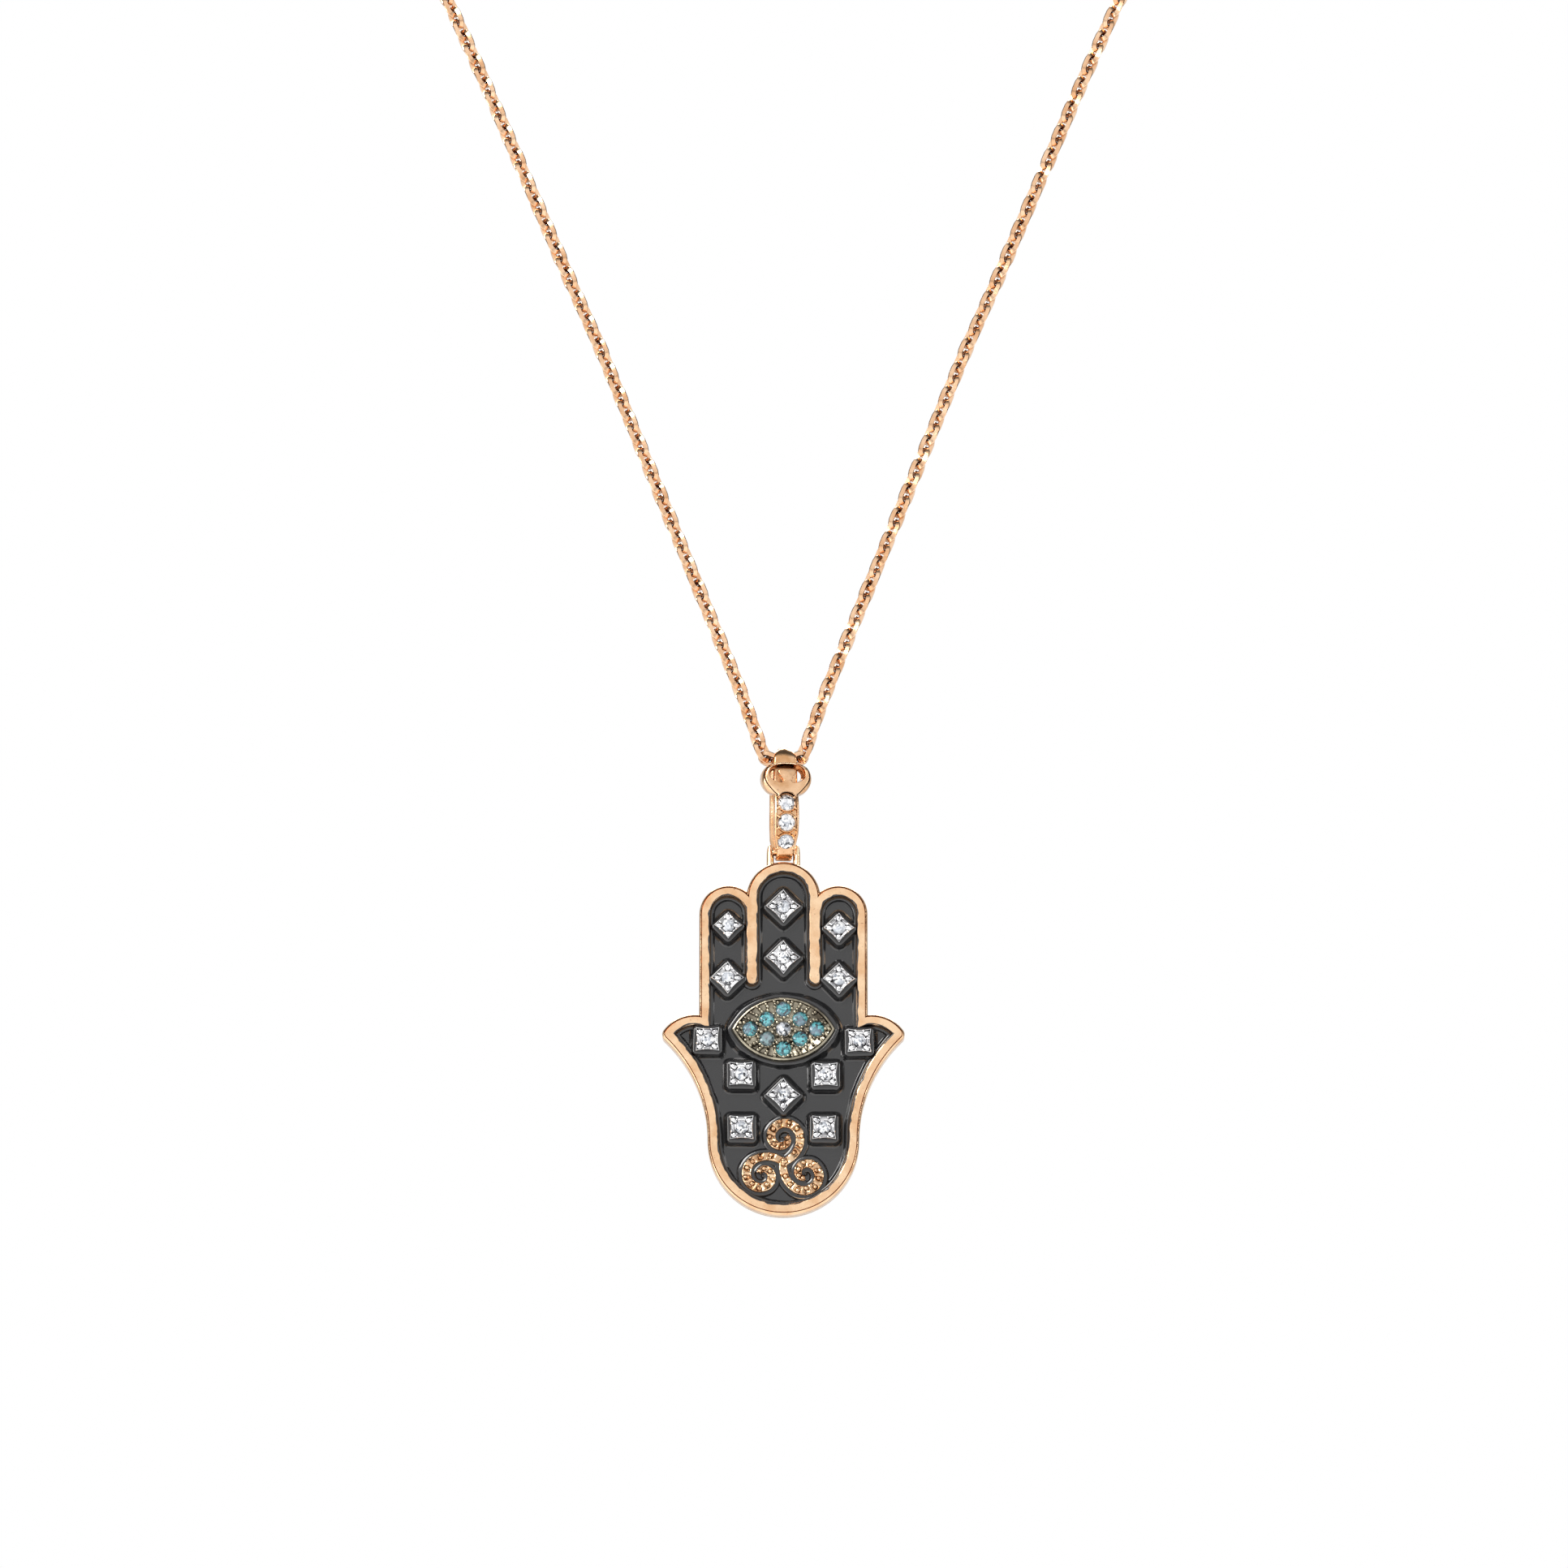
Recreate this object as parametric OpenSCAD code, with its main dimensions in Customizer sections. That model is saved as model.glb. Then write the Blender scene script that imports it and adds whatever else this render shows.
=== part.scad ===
// Hamsa pendant on a 45 cm cable chain. A cast hand with enamelled recesses carries thirteen
// square stone settings, an almond eye and a triple scroll, and hangs from a stone-set bail.
// Millimetres, +Z up. The origin lies where the clasp rests on the nape, and the pendant
// hangs in front of it and faces -Y.

/* [Hand] */
// Height of the hand, from the palm's foot to the middle finger's tip
hand_h = 25.1; // [24:0.1:27]
// Width across the three fingers
hand_w = 11.8; // [11.6:0.1:12.2]
// Thickness from the back to the front of the rim
hand_d = 1.7; // [1.5:0.1:2.2]
// Radius of the palm's round foot
palm_r = 5.3; // [5.1:0.1:5.6]
// Radius of the hollow side between the palm and a thumb
waist_r = 10; // [9:0.5:12]
// Distance from the middle to the centre of a thumb's round top
thumb_x = 6.2; // [6:0.1:6.5]
// Radius of a thumb's round top
thumb_r = 2.7; // [2.5:0.1:3]
// Radius of a thumb's tip
thumb_tip_r = 0.45; // [0.3:0.05:0.6]
// Radius of the middle finger's round end
finger_r = 2.6; // [2.4:0.1:2.8]
// Radius of a side finger's round end
side_finger_r = 2.05; // [1.95:0.05:2.15]
// How much lower the side fingers end than the middle one
side_finger_drop = 1.7; // [1.5:0.1:2]
// Width of the rim
rim_w = 0.75; // [0.65:0.05:0.85]
// Width of the bars between the fingers
bar_w = 0.85; // [0.7:0.05:0.95]
// Distance from the middle to the centre of a bar
bar_x = 2.2; // [2.1:0.05:2.25]
// Thickness of the closed back
back_t = 0.5; // [0.4:0.05:0.6]

/* [Enamel] */
// How deep the enamel's floor lies below the rim
enamel_drop = 0.65; // [0.5:0.05:0.8]
// How far the enamel runs out around each setting at its floor
mound_w = 0.32; // [0.2:0.02:0.36]
// How far the enamel runs out around the eye
eye_mound_w = 0.4; // [0.3:0.05:0.5]

/* [Settings] */
// Side of the largest square setting
setting_side = 1.75; // [1.65:0.05:1.85]
// How far the settings stand proud of the rim
setting_rise = 0.45; // [0.35:0.05:0.6]
// Thickness of a setting's head
head_t = 0.4; // [0.35:0.05:0.45]
// Side of the post under a setting's head
post_side = 0.85; // [0.7:0.05:0.95]
// Diameter of the stone in a setting
setting_stone_d = 0.75; // [0.65:0.05:0.8]
// Radius of the bead prongs on the settings
setting_bead_r = 0.16; // [0.12:0.02:0.18]

/* [Eye] */
// Length of the almond plate
eye_w = 7.2; // [7:0.1:7.6]
// Height of the almond plate
eye_h = 4.5; // [4.4:0.1:4.8]
// How far the plate stands proud of the rim
eye_rise = 0.1; // [0:0.05:0.3]
// Thickness of the almond plate
eye_t = 0.6; // [0.5:0.05:0.7]
// Diameter of the stones in the eye
eye_stone_d = 1.08; // [0.9:0.02:1.1]
// Distance between the stones' columns
eye_pitch_x = 1.16; // [1.14:0.02:1.2]
// Distance between the stones' rows
eye_pitch_y = 0.7; // [0.68:0.01:0.72]
// Radius of the bead prongs in the eye
eye_bead_r = 0.11; // [0.08:0.01:0.12]

/* [Scroll] */
// Distance from the scroll's middle to the centre of each spiral
scroll_reach = 1.7; // [1.65:0.05:1.8]
// Radius of each spiral's outer turn, at the middle of its band
spiral_r = 1.18; // [1.14:0.02:1.22]
// Width of the spiral's band where it starts
band_w = 0.68; // [0.58:0.02:0.7]
// How far the scroll stands proud of the enamel's floor
scroll_rise = 0.45; // [0.3:0.05:0.6]
// Radius of the beads on the scroll
scroll_bead_r = 0.15; // [0.1:0.01:0.18]

/* [Eyelet] */
// Thickness of the eyelet's wire
eyelet_wire = 0.45; // [0.4:0.05:0.5]
// Distance between the eyelet's legs, centre to centre
eyelet_w = 1.9; // [1.86:0.02:2]
// Height of the eyelet's bar, at its centre, above the hand
eyelet_rise = 0.87; // [0.85:0.05:1.1]
// Bend radius of the eyelet's shoulders, at the wire's centre
eyelet_bend = 0.42; // [0.36:0.02:0.46]

/* [Bail] */
// Distance between the centres of the bail's top arch and bottom turn
bail_l = 6.2; // [6.1:0.05:6.5]
// Inner radius of the top arch and of the bottom turn
arch_r = 0.58; // [0.57:0.01:0.62]
// Thickness of the bail's strip
strip_t = 0.4; // [0.35:0.05:0.45]
// Thickness of the front arm that holds the stones
arm_t = 0.6; // [0.55:0.05:0.7]
// How far the front arm bows out from the middle of the bail
arm_bow = 1.65; // [1.6:0.05:1.75]
// Radius of the front arm's bow
arm_r = 4.1; // [4:0.05:4.4]
// Widest width of the bail's arms
arm_w = 1.76; // [1.72:0.02:1.8]
// Width of the domed top
dome_w = 1.6; // [1.5:0.05:1.65]
// Width of the bottom turn inside the eyelet
foot_w = 1.14; // [0.9:0.02:1.16]
// Diameter of the stones in the front arm
bail_stone_d = 1.26; // [1.1:0.02:1.28]
// Angle between neighbouring stones, round the front arm's bow
bail_stone_step = 20.5; // [20:0.5:22]
// Angle by which the middle stone sits below the bow's middle
bail_stone_lean = 9; // [8:0.5:10]
// Width of the oval collar
collar_w = 3.5; // [3.3:0.1:3.7]
// Height of the oval collar
collar_h = 2.35; // [2.25:0.05:2.45]
// Depth of the oval collar
collar_d = 1.2; // [1.1:0.05:1.3]
// Width of the collar's window
window_w = 2.55; // [2.4:0.05:2.65]
// Height of the collar's window
window_h = 1.35; // [1.25:0.05:1.4]
// Width of the web in the collar's window, below the arch
web_w = 1.2; // [1.1:0.05:1.3]
// Width of the web's waist, at the window's foot
waist_w = 0.6; // [0.5:0.05:0.7]
// How far the bail hangs turned about its own upright line, in degrees
bail_turn = 9; // [0:1:9]

/* [Chain and clasp] */
// Outer diameter of the chain
chain_d = 0.86; // [0.8:0.02:0.88]
// Length of the clasp's barrel
clasp_l = 6; // [5:0.5:8]
// Diameter of the clasp's barrel
clasp_d = 2.6; // [2:0.1:3.2]

/* [Fit] */
// Gap between pieces that are set into each other
gap = 0.02; // [0.01:0.005:0.03]
// Play between parts that hang in each other
play = 0.03; // [0.02:0.01:0.04]

/* [Hidden] */
$fn = 48;

// Angle at which the curve of the web's side ends, below its straight part
FLARE_TURN = 115;

// Half of the chain's route, from the middle of the bail to the clasp: the visible stretch up
// to x = 26, then the plain way round the neck
ROUTE = [
    [0, -104, -106], [1, -104, -106], [1.45, -104, -105.5], [1.75, -104, -104.6],
    [2, -104, -103.8], [3, -104, -101], [5, -104, -96], [7, -104, -91], [9, -104, -86],
    [11, -104, -81], [13, -104, -76], [15.2, -104, -71], [17.3, -104, -66], [19.4, -104, -61],
    [21.5, -104, -56], [23.7, -104, -51], [26, -104, -46], [29.5, -103, -40],
    [33.5, -101, -34], [38, -98, -28.5], [42.5, -94, -23.5], [46.5, -88.5, -19],
    [50, -82, -15], [52.5, -75, -12], [54, -67.5, -9.5], [54.5, -60, -7], [54, -52, -5.5],
    [52, -44, -4], [48.5, -36.5, -3], [44, -29, -2], [38.5, -22, -1.5], [32, -16, -1],
    [25, -10.5, -0.5], [17.5, -6, 0], [10, -2.5, 0]
];
CHAIN_SIDES = 8;
// A direction that the chain never runs along, which keeps the tube's rings from twisting
CHAIN_REF = [0, -0.7, 0.7];

// Columns of the settings' table. Across is a share of half the fingers' width, up a share of
// the hand's height, and size a share of the largest setting's side.
NAME = 0;
ACROSS = 1;
UP = 2;
SIZE = 3;
TURN = 4;
SETTINGS = [
    ["finger_left_top", -0.655, 0.815, 0.8, 45],
    ["finger_left_low", -0.66, 0.666, 0.95, 45],
    ["finger_mid_top", 0, 0.869, 1, 45],
    ["finger_mid_low", 0, 0.724, 1, 45],
    ["finger_right_top", 0.66, 0.808, 0.88, 45],
    ["finger_right_low", 0.66, 0.663, 0.93, 45],
    ["thumb_left", -0.9, 0.492, 0.97, 0],
    ["thumb_right", 0.9, 0.488, 0.97, 0],
    ["palm_left", -0.5, 0.394, 0.98, 0],
    ["palm_right", 0.5, 0.392, 0.98, 0],
    ["palm_mid", 0, 0.334, 1, 45],
    ["low_left", -0.495, 0.2425, 0.98, 0],
    ["low_right", 0.48, 0.2425, 0.98, 0]
];

// The eye's stones, in columns and rows from the middle one
EYE_STONES = [
    ["mid", 0, 0], ["top", 0, 2], ["low", 0, -2], ["left", -2, 0], ["right", 2, 0],
    ["left_top", -1, 1], ["right_top", 1, 1], ["left_low", -1, -1], ["right_low", 1, -1]
];
COLUMN = 1;
ROW = 2;

BAIL_STONES = ["top", "mid", "low"];

// Places that follow from the sizes
hang = ROUTE[0];
half_w = hand_w / 2;
// Where the hinge's plane lies in the hand's thickness, level with the hand's balance
eyelet_depth = hand_d * 0.43;
eyelet_z = hang[2] - bail_l - arch_r + play + eyelet_wire / 2;
palm_z = eyelet_z - eyelet_rise - hand_h + palm_r;
tip_y = hand_h - palm_r;
side_tip_y = tip_y - side_finger_drop;
thumb_y = hand_h * 0.458 - palm_r;
bar_foot = hand_h * 0.65 - palm_r;
eye_y = hand_h * 0.523 - palm_r;
scroll_y = hand_h * 0.149 - palm_r;
floor_d = hand_d - enamel_drop;
head_top = hand_d + setting_rise;
eye_top = hand_d + eye_rise;
scroll_top = floor_d + scroll_rise;
arm_z = -bail_l * 0.66;
collar_z = -bail_l * 0.254;
window_z = collar_z + 0.06 * bail_l;
bail_top_r = arch_r + strip_t;

// The points of an arc round c, from angle a0 to a1
function arc(c, r, a0, a1, n) =
    [for (i = [0:n]) let (a = a0 + (a1 - a0) * i / n) c + r * [cos(a), sin(a)]];

function heading(v) = atan2(v[1], v[0]);

// Where two circles meet, on the left of the line from the first to the second
function meet(c1, r1, c2, r2) =
    let (v = c2 - c1, d = norm(v), a = (r1 * r1 - r2 * r2 + d * d) / (2 * d))
    c1 + a * v / d + sqrt(r1 * r1 - a * a) / d * [-v[1], v[0]];

// One side of the hand below its fingers, drawn in from the outline by d: the thumb's round
// top, its tip, the hollow waist and a quarter of the palm's foot
function palm_side(d) =
    let (
        thumb = [thumb_x, thumb_y],
        waist = [palm_r + waist_r, 0],
        tip_r = max(thumb_tip_r, d),
        tip = meet(thumb, thumb_r - tip_r, waist, waist_r + tip_r),
        x = half_w - d,
        corner = [x, thumb_y + sqrt(pow(thumb_r - d, 2) - pow(x - thumb_x, 2))],
        a_tip = heading(tip - thumb),
        a_waist = heading(tip - waist)
    )
    concat(
        arc(thumb, thumb_r - d, heading(corner - thumb), a_tip, 12),
        tip_r > d ? arc(tip, tip_r - d, a_tip, a_waist - 180, 8) : [],
        arc(waist, waist_r + d, a_waist, 180, 16),
        arc([0, 0], palm_r - d, 0, -90, 20)
    );

function mirrored(points) = [for (i = [len(points) - 1:-1:0]) [-points[i][0], points[i][1]]];

// A brilliant-cut stone with its girdle in the plane z = 0 and its table up
module brilliant(d) {
    crown = 0.15 * d;
    slice = 0.01 * d;
    hull() {
        translate([0, 0, crown - slice]) cylinder(d = 0.56 * d, h = slice, $fn = 8);
        rotate(22.5) translate([0, 0, 0.55 * crown]) cylinder(d = 0.8 * d, h = slice, $fn = 8);
        translate([0, 0, -2 * slice]) cylinder(d = d, h = 3 * slice, $fn = 16);
        translate([0, 0, -0.3 * d]) cylinder(d = 0.1 * d, h = slice, $fn = 8);
    }
}

// The seat for a stone whose girdle lies in the plane z = 0: a cone under a short bore
module seat(d) {
    deep = 0.3 * d + 2 * gap;
    edge = 0.02 * d + gap;
    translate([0, 0, -edge]) cylinder(d = d + 2 * gap, h = edge + 0.3 * d);
    translate([0, 0, -deep]) cylinder(d1 = 0.1 * d + 2 * gap, d2 = d + 2 * gap, h = deep - edge);
}

// Sets the hand's flat drawings upright in its place, back down on the plane z = 0
module on_hand() {
    translate([hang[0], hang[1] + eyelet_depth, palm_z]) rotate([90, 0, 0]) children();
}

module finger2d(x, tip, r) {
    translate([x, tip - r]) circle(r);
    translate([x - r, thumb_y]) square([2 * r, tip - r - thumb_y]);
}

module palm2d(d) {
    side = palm_side(d);
    polygon(concat(side, mirrored(side)));
}

module outline2d() {
    palm2d(0);
    finger2d(0, tip_y, finger_r);
    for (s = [-1, 1]) finger2d(s * (half_w - side_finger_r), side_tip_y, side_finger_r);
    translate([-half_w, thumb_y]) square([hand_w, side_tip_y - side_finger_r - thumb_y]);
}

// The recess that the enamel fills, drawn in by the clearance g
module recess2d(g) {
    inset = rim_w + g;
    mid_r = bar_x - bar_w / 2 - g;
    bar_out = bar_x + bar_w / 2 + g;
    side_r = (half_w - inset - bar_out) / 2;
    palm2d(inset);
    finger2d(0, tip_y - inset, mid_r);
    for (s = [-1, 1]) finger2d(s * (bar_out + side_r), side_tip_y - inset, side_r);
    difference() {
        translate([inset - half_w, thumb_y])
            square([hand_w - 2 * inset, bar_foot + bar_w - thumb_y]);
        for (s = [-1, 1]) translate([s * bar_x, 0]) {
            translate([0, bar_foot + bar_w / 2]) circle(bar_w / 2 + g);
            translate([-bar_w / 2 - g, bar_foot + bar_w / 2]) square([bar_w + 2 * g, bar_w]);
        }
    }
}

module eyelet() {
    leg_x = eyelet_w / 2;
    bar = leg_x - eyelet_bend;
    translate([0, tip_y + eyelet_rise, eyelet_depth]) {
        rotate([0, 90, 0]) cylinder(d = eyelet_wire, h = 2 * bar, center = true);
        for (s = [0, 180]) rotate([0, s, 0]) translate([bar, -eyelet_bend, 0]) {
            rotate_extrude(angle = 90) translate([eyelet_bend, 0]) circle(d = eyelet_wire);
            translate([eyelet_bend, 0, 0]) rotate([90, 0, 0])
                cylinder(d = eyelet_wire, h = eyelet_rise - eyelet_bend + rim_w / 2);
        }
    }
}

module frame() {
    color([0.93, 0.7, 0.52]) on_hand() {
        difference() {
            linear_extrude(hand_d) outline2d();
            translate([0, 0, back_t]) linear_extrude(hand_d) recess2d(0);
        }
        eyelet();
    }
}

// A square with hollow sides, as the settings have
module star2d(side) {
    hollow_r = side * 1.6;
    difference() {
        square(side, center = true);
        for (a = [0:90:270]) rotate(a) translate([side * 0.44 + hollow_r, 0]) circle(hollow_r);
    }
}

module at_setting(s) {
    translate([s[ACROSS] * half_w, s[UP] * hand_h - palm_r, 0]) rotate(s[TURN]) children();
}

module setting(s) {
    side = s[SIZE] * setting_side;
    girdle = head_top - 0.15 * setting_stone_d;
    color([0.82, 0.83, 0.85]) on_hand() at_setting(s) {
        difference() {
            union() {
                translate([0, 0, head_top - head_t]) linear_extrude(head_t) star2d(side);
                translate([-post_side / 2, -post_side / 2, back_t + gap])
                    cube([post_side, post_side, head_top - head_t / 2 - back_t - gap]);
            }
            translate([0, 0, girdle]) seat(setting_stone_d);
        }
        for (a = [45:90:315]) rotate(a) translate([side * 0.5, 0, head_top])
            sphere(setting_bead_r);
    }
}

module setting_stone(s) {
    color([0.93, 0.95, 0.97]) on_hand() at_setting(s)
        translate([0, 0, head_top - 0.15 * setting_stone_d]) brilliant(setting_stone_d);
}

// The almond: what two circles share, grown on all sides by g
module almond2d(g) {
    r = (pow(eye_w / 2, 2) + pow(eye_h / 2, 2)) / eye_h;
    intersection() {
        translate([0, r - eye_h / 2]) circle(r + g);
        translate([0, eye_h / 2 - r]) circle(r + g);
    }
}

// Half the almond's height at a distance x from its middle
function almond_half(x) =
    let (r = (pow(eye_w / 2, 2) + pow(eye_h / 2, 2)) / eye_h)
    sqrt(r * r - x * x) - r + eye_h / 2;

module at_eye() {
    translate([0, eye_y, 0]) children();
}

module eye_plate() {
    girdle = eye_top - 0.12 * eye_stone_d;
    edge = 2.5 * eye_bead_r;
    color([0.55, 0.52, 0.42]) on_hand() at_eye() {
        difference() {
            union() {
                translate([0, 0, eye_top - eye_t]) linear_extrude(eye_t) almond2d(0);
                translate([0, 0, back_t + gap])
                    linear_extrude(eye_top - eye_t / 2 - back_t - gap) almond2d(-rim_w / 2);
            }
            for (e = EYE_STONES) translate([e[COLUMN] * eye_pitch_x, e[ROW] * eye_pitch_y, girdle])
                seat(eye_stone_d);
        }
        for (i = [-5:2:5], j = [-5:2:5]) {
            x = i * eye_pitch_x / 2;
            y = j * eye_pitch_y / 2;
            if (abs(y) < almond_half(x) - edge) translate([x, y, eye_top]) sphere(eye_bead_r);
        }
    }
}

module eye_stone(e) {
    color(e[NAME] == "mid" ? [0.93, 0.95, 0.97] : [0.3, 0.62, 0.66]) on_hand() at_eye()
        translate([e[COLUMN] * eye_pitch_x, e[ROW] * eye_pitch_y, eye_top - 0.12 * eye_stone_d])
            brilliant(eye_stone_d);
}

// By degrees turned: the spiral's radius as a share of its outer turn's, and its band's width as
// a share of band_w
SPIRAL = [[90, 1], [180, 0.915], [270, 0.725], [360, 0.43], [450, 0.24], [490, 0.21]];
BAND = [[60, 0.92], [90, 0.96], [180, 1.04], [270, 1], [360, 0.93], [450, 0.72], [490, 0.6]];
SPIRAL_TURN = 490;
SPIRAL_STEPS = 42;
// The turn over which an arm closes in from the scroll's middle to the outer turn
ARM_TURN = 90;

// Radius of the spiral's middle line, and width of its band, after a turn of a degrees
function spiral_at(a) =
    spiral_r * lookup(a, SPIRAL) + (scroll_reach - spiral_r) * pow(max(0, 1 - a / ARM_TURN), 2);
function band_at(a) = band_w * lookup(a, BAND);

function spiral_edge(side, g) = [
    for (i = [0:SPIRAL_STEPS])
        let (a = SPIRAL_TURN * i / SPIRAL_STEPS, r = spiral_at(a) + side * (band_at(a) / 2 + g))
        r * [cos(a - 90), sin(a - 90)]
];

module spiral2d(g) {
    inner = spiral_edge(-1, g);
    polygon(concat(spiral_edge(1, g), [for (i = [SPIRAL_STEPS:-1:0]) inner[i]]));
    end = spiral_at(SPIRAL_TURN) * [cos(SPIRAL_TURN - 90), sin(SPIRAL_TURN - 90)];
    translate(end) circle(band_at(SPIRAL_TURN) / 2 + g);
}

module scroll2d(g) {
    for (a = [0:120:240]) rotate(a) translate([0, scroll_reach]) spiral2d(g);
}

module scroll() {
    color([0.9, 0.66, 0.4]) on_hand() translate([0, scroll_y, 0]) {
        translate([0, 0, back_t + gap]) linear_extrude(scroll_top - back_t - gap) scroll2d(0);
        translate([0, 0, scroll_top]) sphere(scroll_bead_r);
        for (a = [0:120:240], t = [30:50:480]) rotate(a) translate([0, scroll_reach, 0])
            translate([spiral_at(t) * cos(t - 90), spiral_at(t) * sin(t - 90), scroll_top])
                sphere(scroll_bead_r);
    }
}

// The enamel's mounds, which climb to the settings' heads and round the eye
module mounds() {
    climb = head_top - head_t - gap - floor_d;
    eye_climb = eye_top - eye_t - gap - floor_d;
    for (s = SETTINGS) at_setting(s) {
        side = s[SIZE] * setting_side * 0.88;
        foot = side + 2 * mound_w;
        translate([0, 0, floor_d - gap]) linear_extrude(climb + gap, scale = side / foot)
            square(foot, center = true);
    }
    at_eye() translate([0, 0, floor_d - gap])
        linear_extrude(eye_climb + enamel_drop / 2) almond2d(eye_mound_w);
}

module enamel() {
    thick = floor_d - back_t - gap;
    color([0.13, 0.13, 0.14]) on_hand() difference() {
        union() {
            translate([0, 0, back_t + gap]) linear_extrude(thick) recess2d(gap);
            intersection() {
                mounds();
                translate([0, 0, back_t]) linear_extrude(head_top) recess2d(gap);
            }
        }
        for (s = SETTINGS) at_setting(s) translate([0, 0, back_t])
            linear_extrude(head_top) square(post_side + 2 * gap, center = true);
        at_eye() translate([0, 0, back_t]) linear_extrude(head_top) almond2d(gap);
        translate([0, scroll_y, back_t]) linear_extrude(head_top) scroll2d(gap);
    }
}

// Sets what is drawn about the middle of the bail's top arch in its place
module on_bail() {
    translate(hang) rotate([0, 0, bail_turn]) children();
}

// Extrudes the bail's side view, drawn as depth and height, across its width
module across(w) {
    rotate([90, 0, 90]) linear_extrude(w, center = true) children();
}

// Extrudes the bail's front view, drawn as width and height, from depth y0 to y1
module through(y0, y1) {
    translate([0, y1, 0]) rotate([90, 0, 0]) linear_extrude(y1 - y0) children();
}

module loop2d(r) {
    circle(r);
    translate([0, -bail_l]) circle(r);
    translate([-r, -bail_l]) square([2 * r, bail_l]);
}

// The front half of a disc that bows the front arm out
module bow2d(r) {
    intersection() {
        translate([arm_r - arm_bow, arm_z]) circle(r);
        translate([-2 * arm_bow, -bail_l]) square([2 * arm_bow, bail_l]);
    }
}

module side_view2d() {
    difference() {
        union() {
            loop2d(bail_top_r);
            bow2d(arm_r);
        }
        loop2d(arch_r);
        bow2d(arm_r - arm_t);
    }
    // The web in the collar, which slopes forward from the arch to the collar's foot
    polygon([
        [-arch_r, window_z + window_h / 2], [-bail_top_r, window_z + window_h / 2],
        [-arm_bow - 0.1, window_z - window_h / 2], [-arm_bow - 0.1, collar_z - collar_h / 2],
        [-arch_r, collar_z - collar_h / 2]
    ]);
}

module front_view2d() {
    dome_y = bail_top_r - dome_w / 2;
    foot_y = -bail_l - bail_top_r;
    side = [
        [dome_w / 2, dome_y], [arm_w / 2 - 0.03, -0.16 * bail_l], [arm_w / 2, -0.73 * bail_l],
        [arm_w / 2 - 0.03, -0.9 * bail_l], [arm_w / 2 - 0.16, -bail_l - 0.05],
        [foot_w / 2, -bail_l - 0.5 * arch_r], [foot_w / 2, foot_y]
    ];
    polygon(concat(arc([0, dome_y], dome_w / 2, 90, 0, 12), side, mirrored(side),
                   arc([0, dome_y], dome_w / 2, 180, 90, 12)));
}

module oval2d(w, h) {
    for (s = [-1, 1]) translate([s * (w - h) / 2, 0]) circle(d = h);
    square([w - h, h], center = true);
}

// The mushroom-shaped web that stays in the collar's window: a waist that widens to the arch
module web2d() {
    foot = window_z - window_h / 2;
    neck = foot + 0.12 * window_h;
    flare = (web_w - waist_w) / 2 / (1 + cos(FLARE_TURN));
    side = concat(
        [[waist_w / 2, foot - 0.1 * window_h]],
        arc([waist_w / 2 + flare, neck], flare, 180, FLARE_TURN, 8),
        [[web_w / 2, foot + 1.1 * window_h]]
    );
    polygon(concat(side, mirrored(side)));
}

// The place of stone number i on the front arm, with its table outwards
module at_bail_stone(i) {
    a = (1 - i) * bail_stone_step - bail_stone_lean;
    sink = 0.1 * bail_stone_d;
    translate([0, arm_r - arm_bow, arm_z]) rotate([-a, 0, 0])
        translate([0, sink - arm_r, 0]) rotate([90, 0, 0]) children();
}

module bail() {
    collar_front = -arm_bow - 0.2;
    color([0.93, 0.7, 0.52]) on_bail() {
        difference() {
            union() {
                intersection() {
                    across(2 * arm_w) side_view2d();
                    through(-2 * arm_bow, 2 * arm_bow) front_view2d();
                }
                through(collar_front, collar_front + collar_d)
                    translate([0, collar_z]) oval2d(collar_w, collar_h);
            }
            through(-2 * arm_bow, -arch_r) difference() {
                translate([0, window_z]) oval2d(window_w, window_h);
                web2d();
            }
            for (i = [0:2]) at_bail_stone(i) seat(bail_stone_d);
        }
    }
}

module bail_stone(i) {
    color([0.93, 0.95, 0.97]) on_bail() at_bail_stone(i) brilliant(bail_stone_d);
}

function unit(v) = v / norm(v);

// The direction of a path at point i, level between the stretches that meet there
function along(path, i) =
    let (last = len(path) - 1)
    unit((i < last ? unit(path[i + 1] - path[i]) : [0, 0, 0])
         + (i > 0 ? unit(path[i] - path[i - 1]) : [0, 0, 0]));

module tube(path, d, sides) {
    last = len(path) - 1;
    points = [
        for (i = [0:last])
            let (t = along(path, i), u = unit(cross(t, CHAIN_REF)), v = cross(u, t))
            for (k = [0:sides - 1]) path[i] + d / 2 * (cos(360 * k / sides) * u + sin(360 * k / sides) * v)
    ];
    walls = [
        for (i = [0:last - 1], k = [0:sides - 1])
            let (a = i * sides + k, b = i * sides + (k + 1) % sides)
            each [[a, b, b + sides], [a, b + sides, a + sides]]
    ];
    ends = [[for (k = [sides - 1:-1:0]) k], [for (k = [0:sides - 1]) last * sides + k]];
    polyhedron(points, concat(walls, ends));
}

module chain() {
    end = clasp_l / 2 + gap;
    half = concat(ROUTE, [[end + 1, 0, 0], [end, 0, 0]]);
    other = [for (i = [len(half) - 1:-1:1]) [-half[i][0], half[i][1], half[i][2]]];
    color([0.88, 0.62, 0.44]) tube(concat(other, half), chain_d, CHAIN_SIDES);
}

module clasp() {
    color([0.88, 0.62, 0.44]) rotate([0, 90, 0]) cylinder(d = clasp_d, h = clasp_l, center = true);
}

frame();
enamel();
eye_plate();
scroll();
bail();
chain();
clasp();
for (s = SETTINGS) {
    setting(s);
    setting_stone(s);
}
for (e = EYE_STONES) eye_stone(e);
for (i = [0:2]) bail_stone(i);
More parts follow.
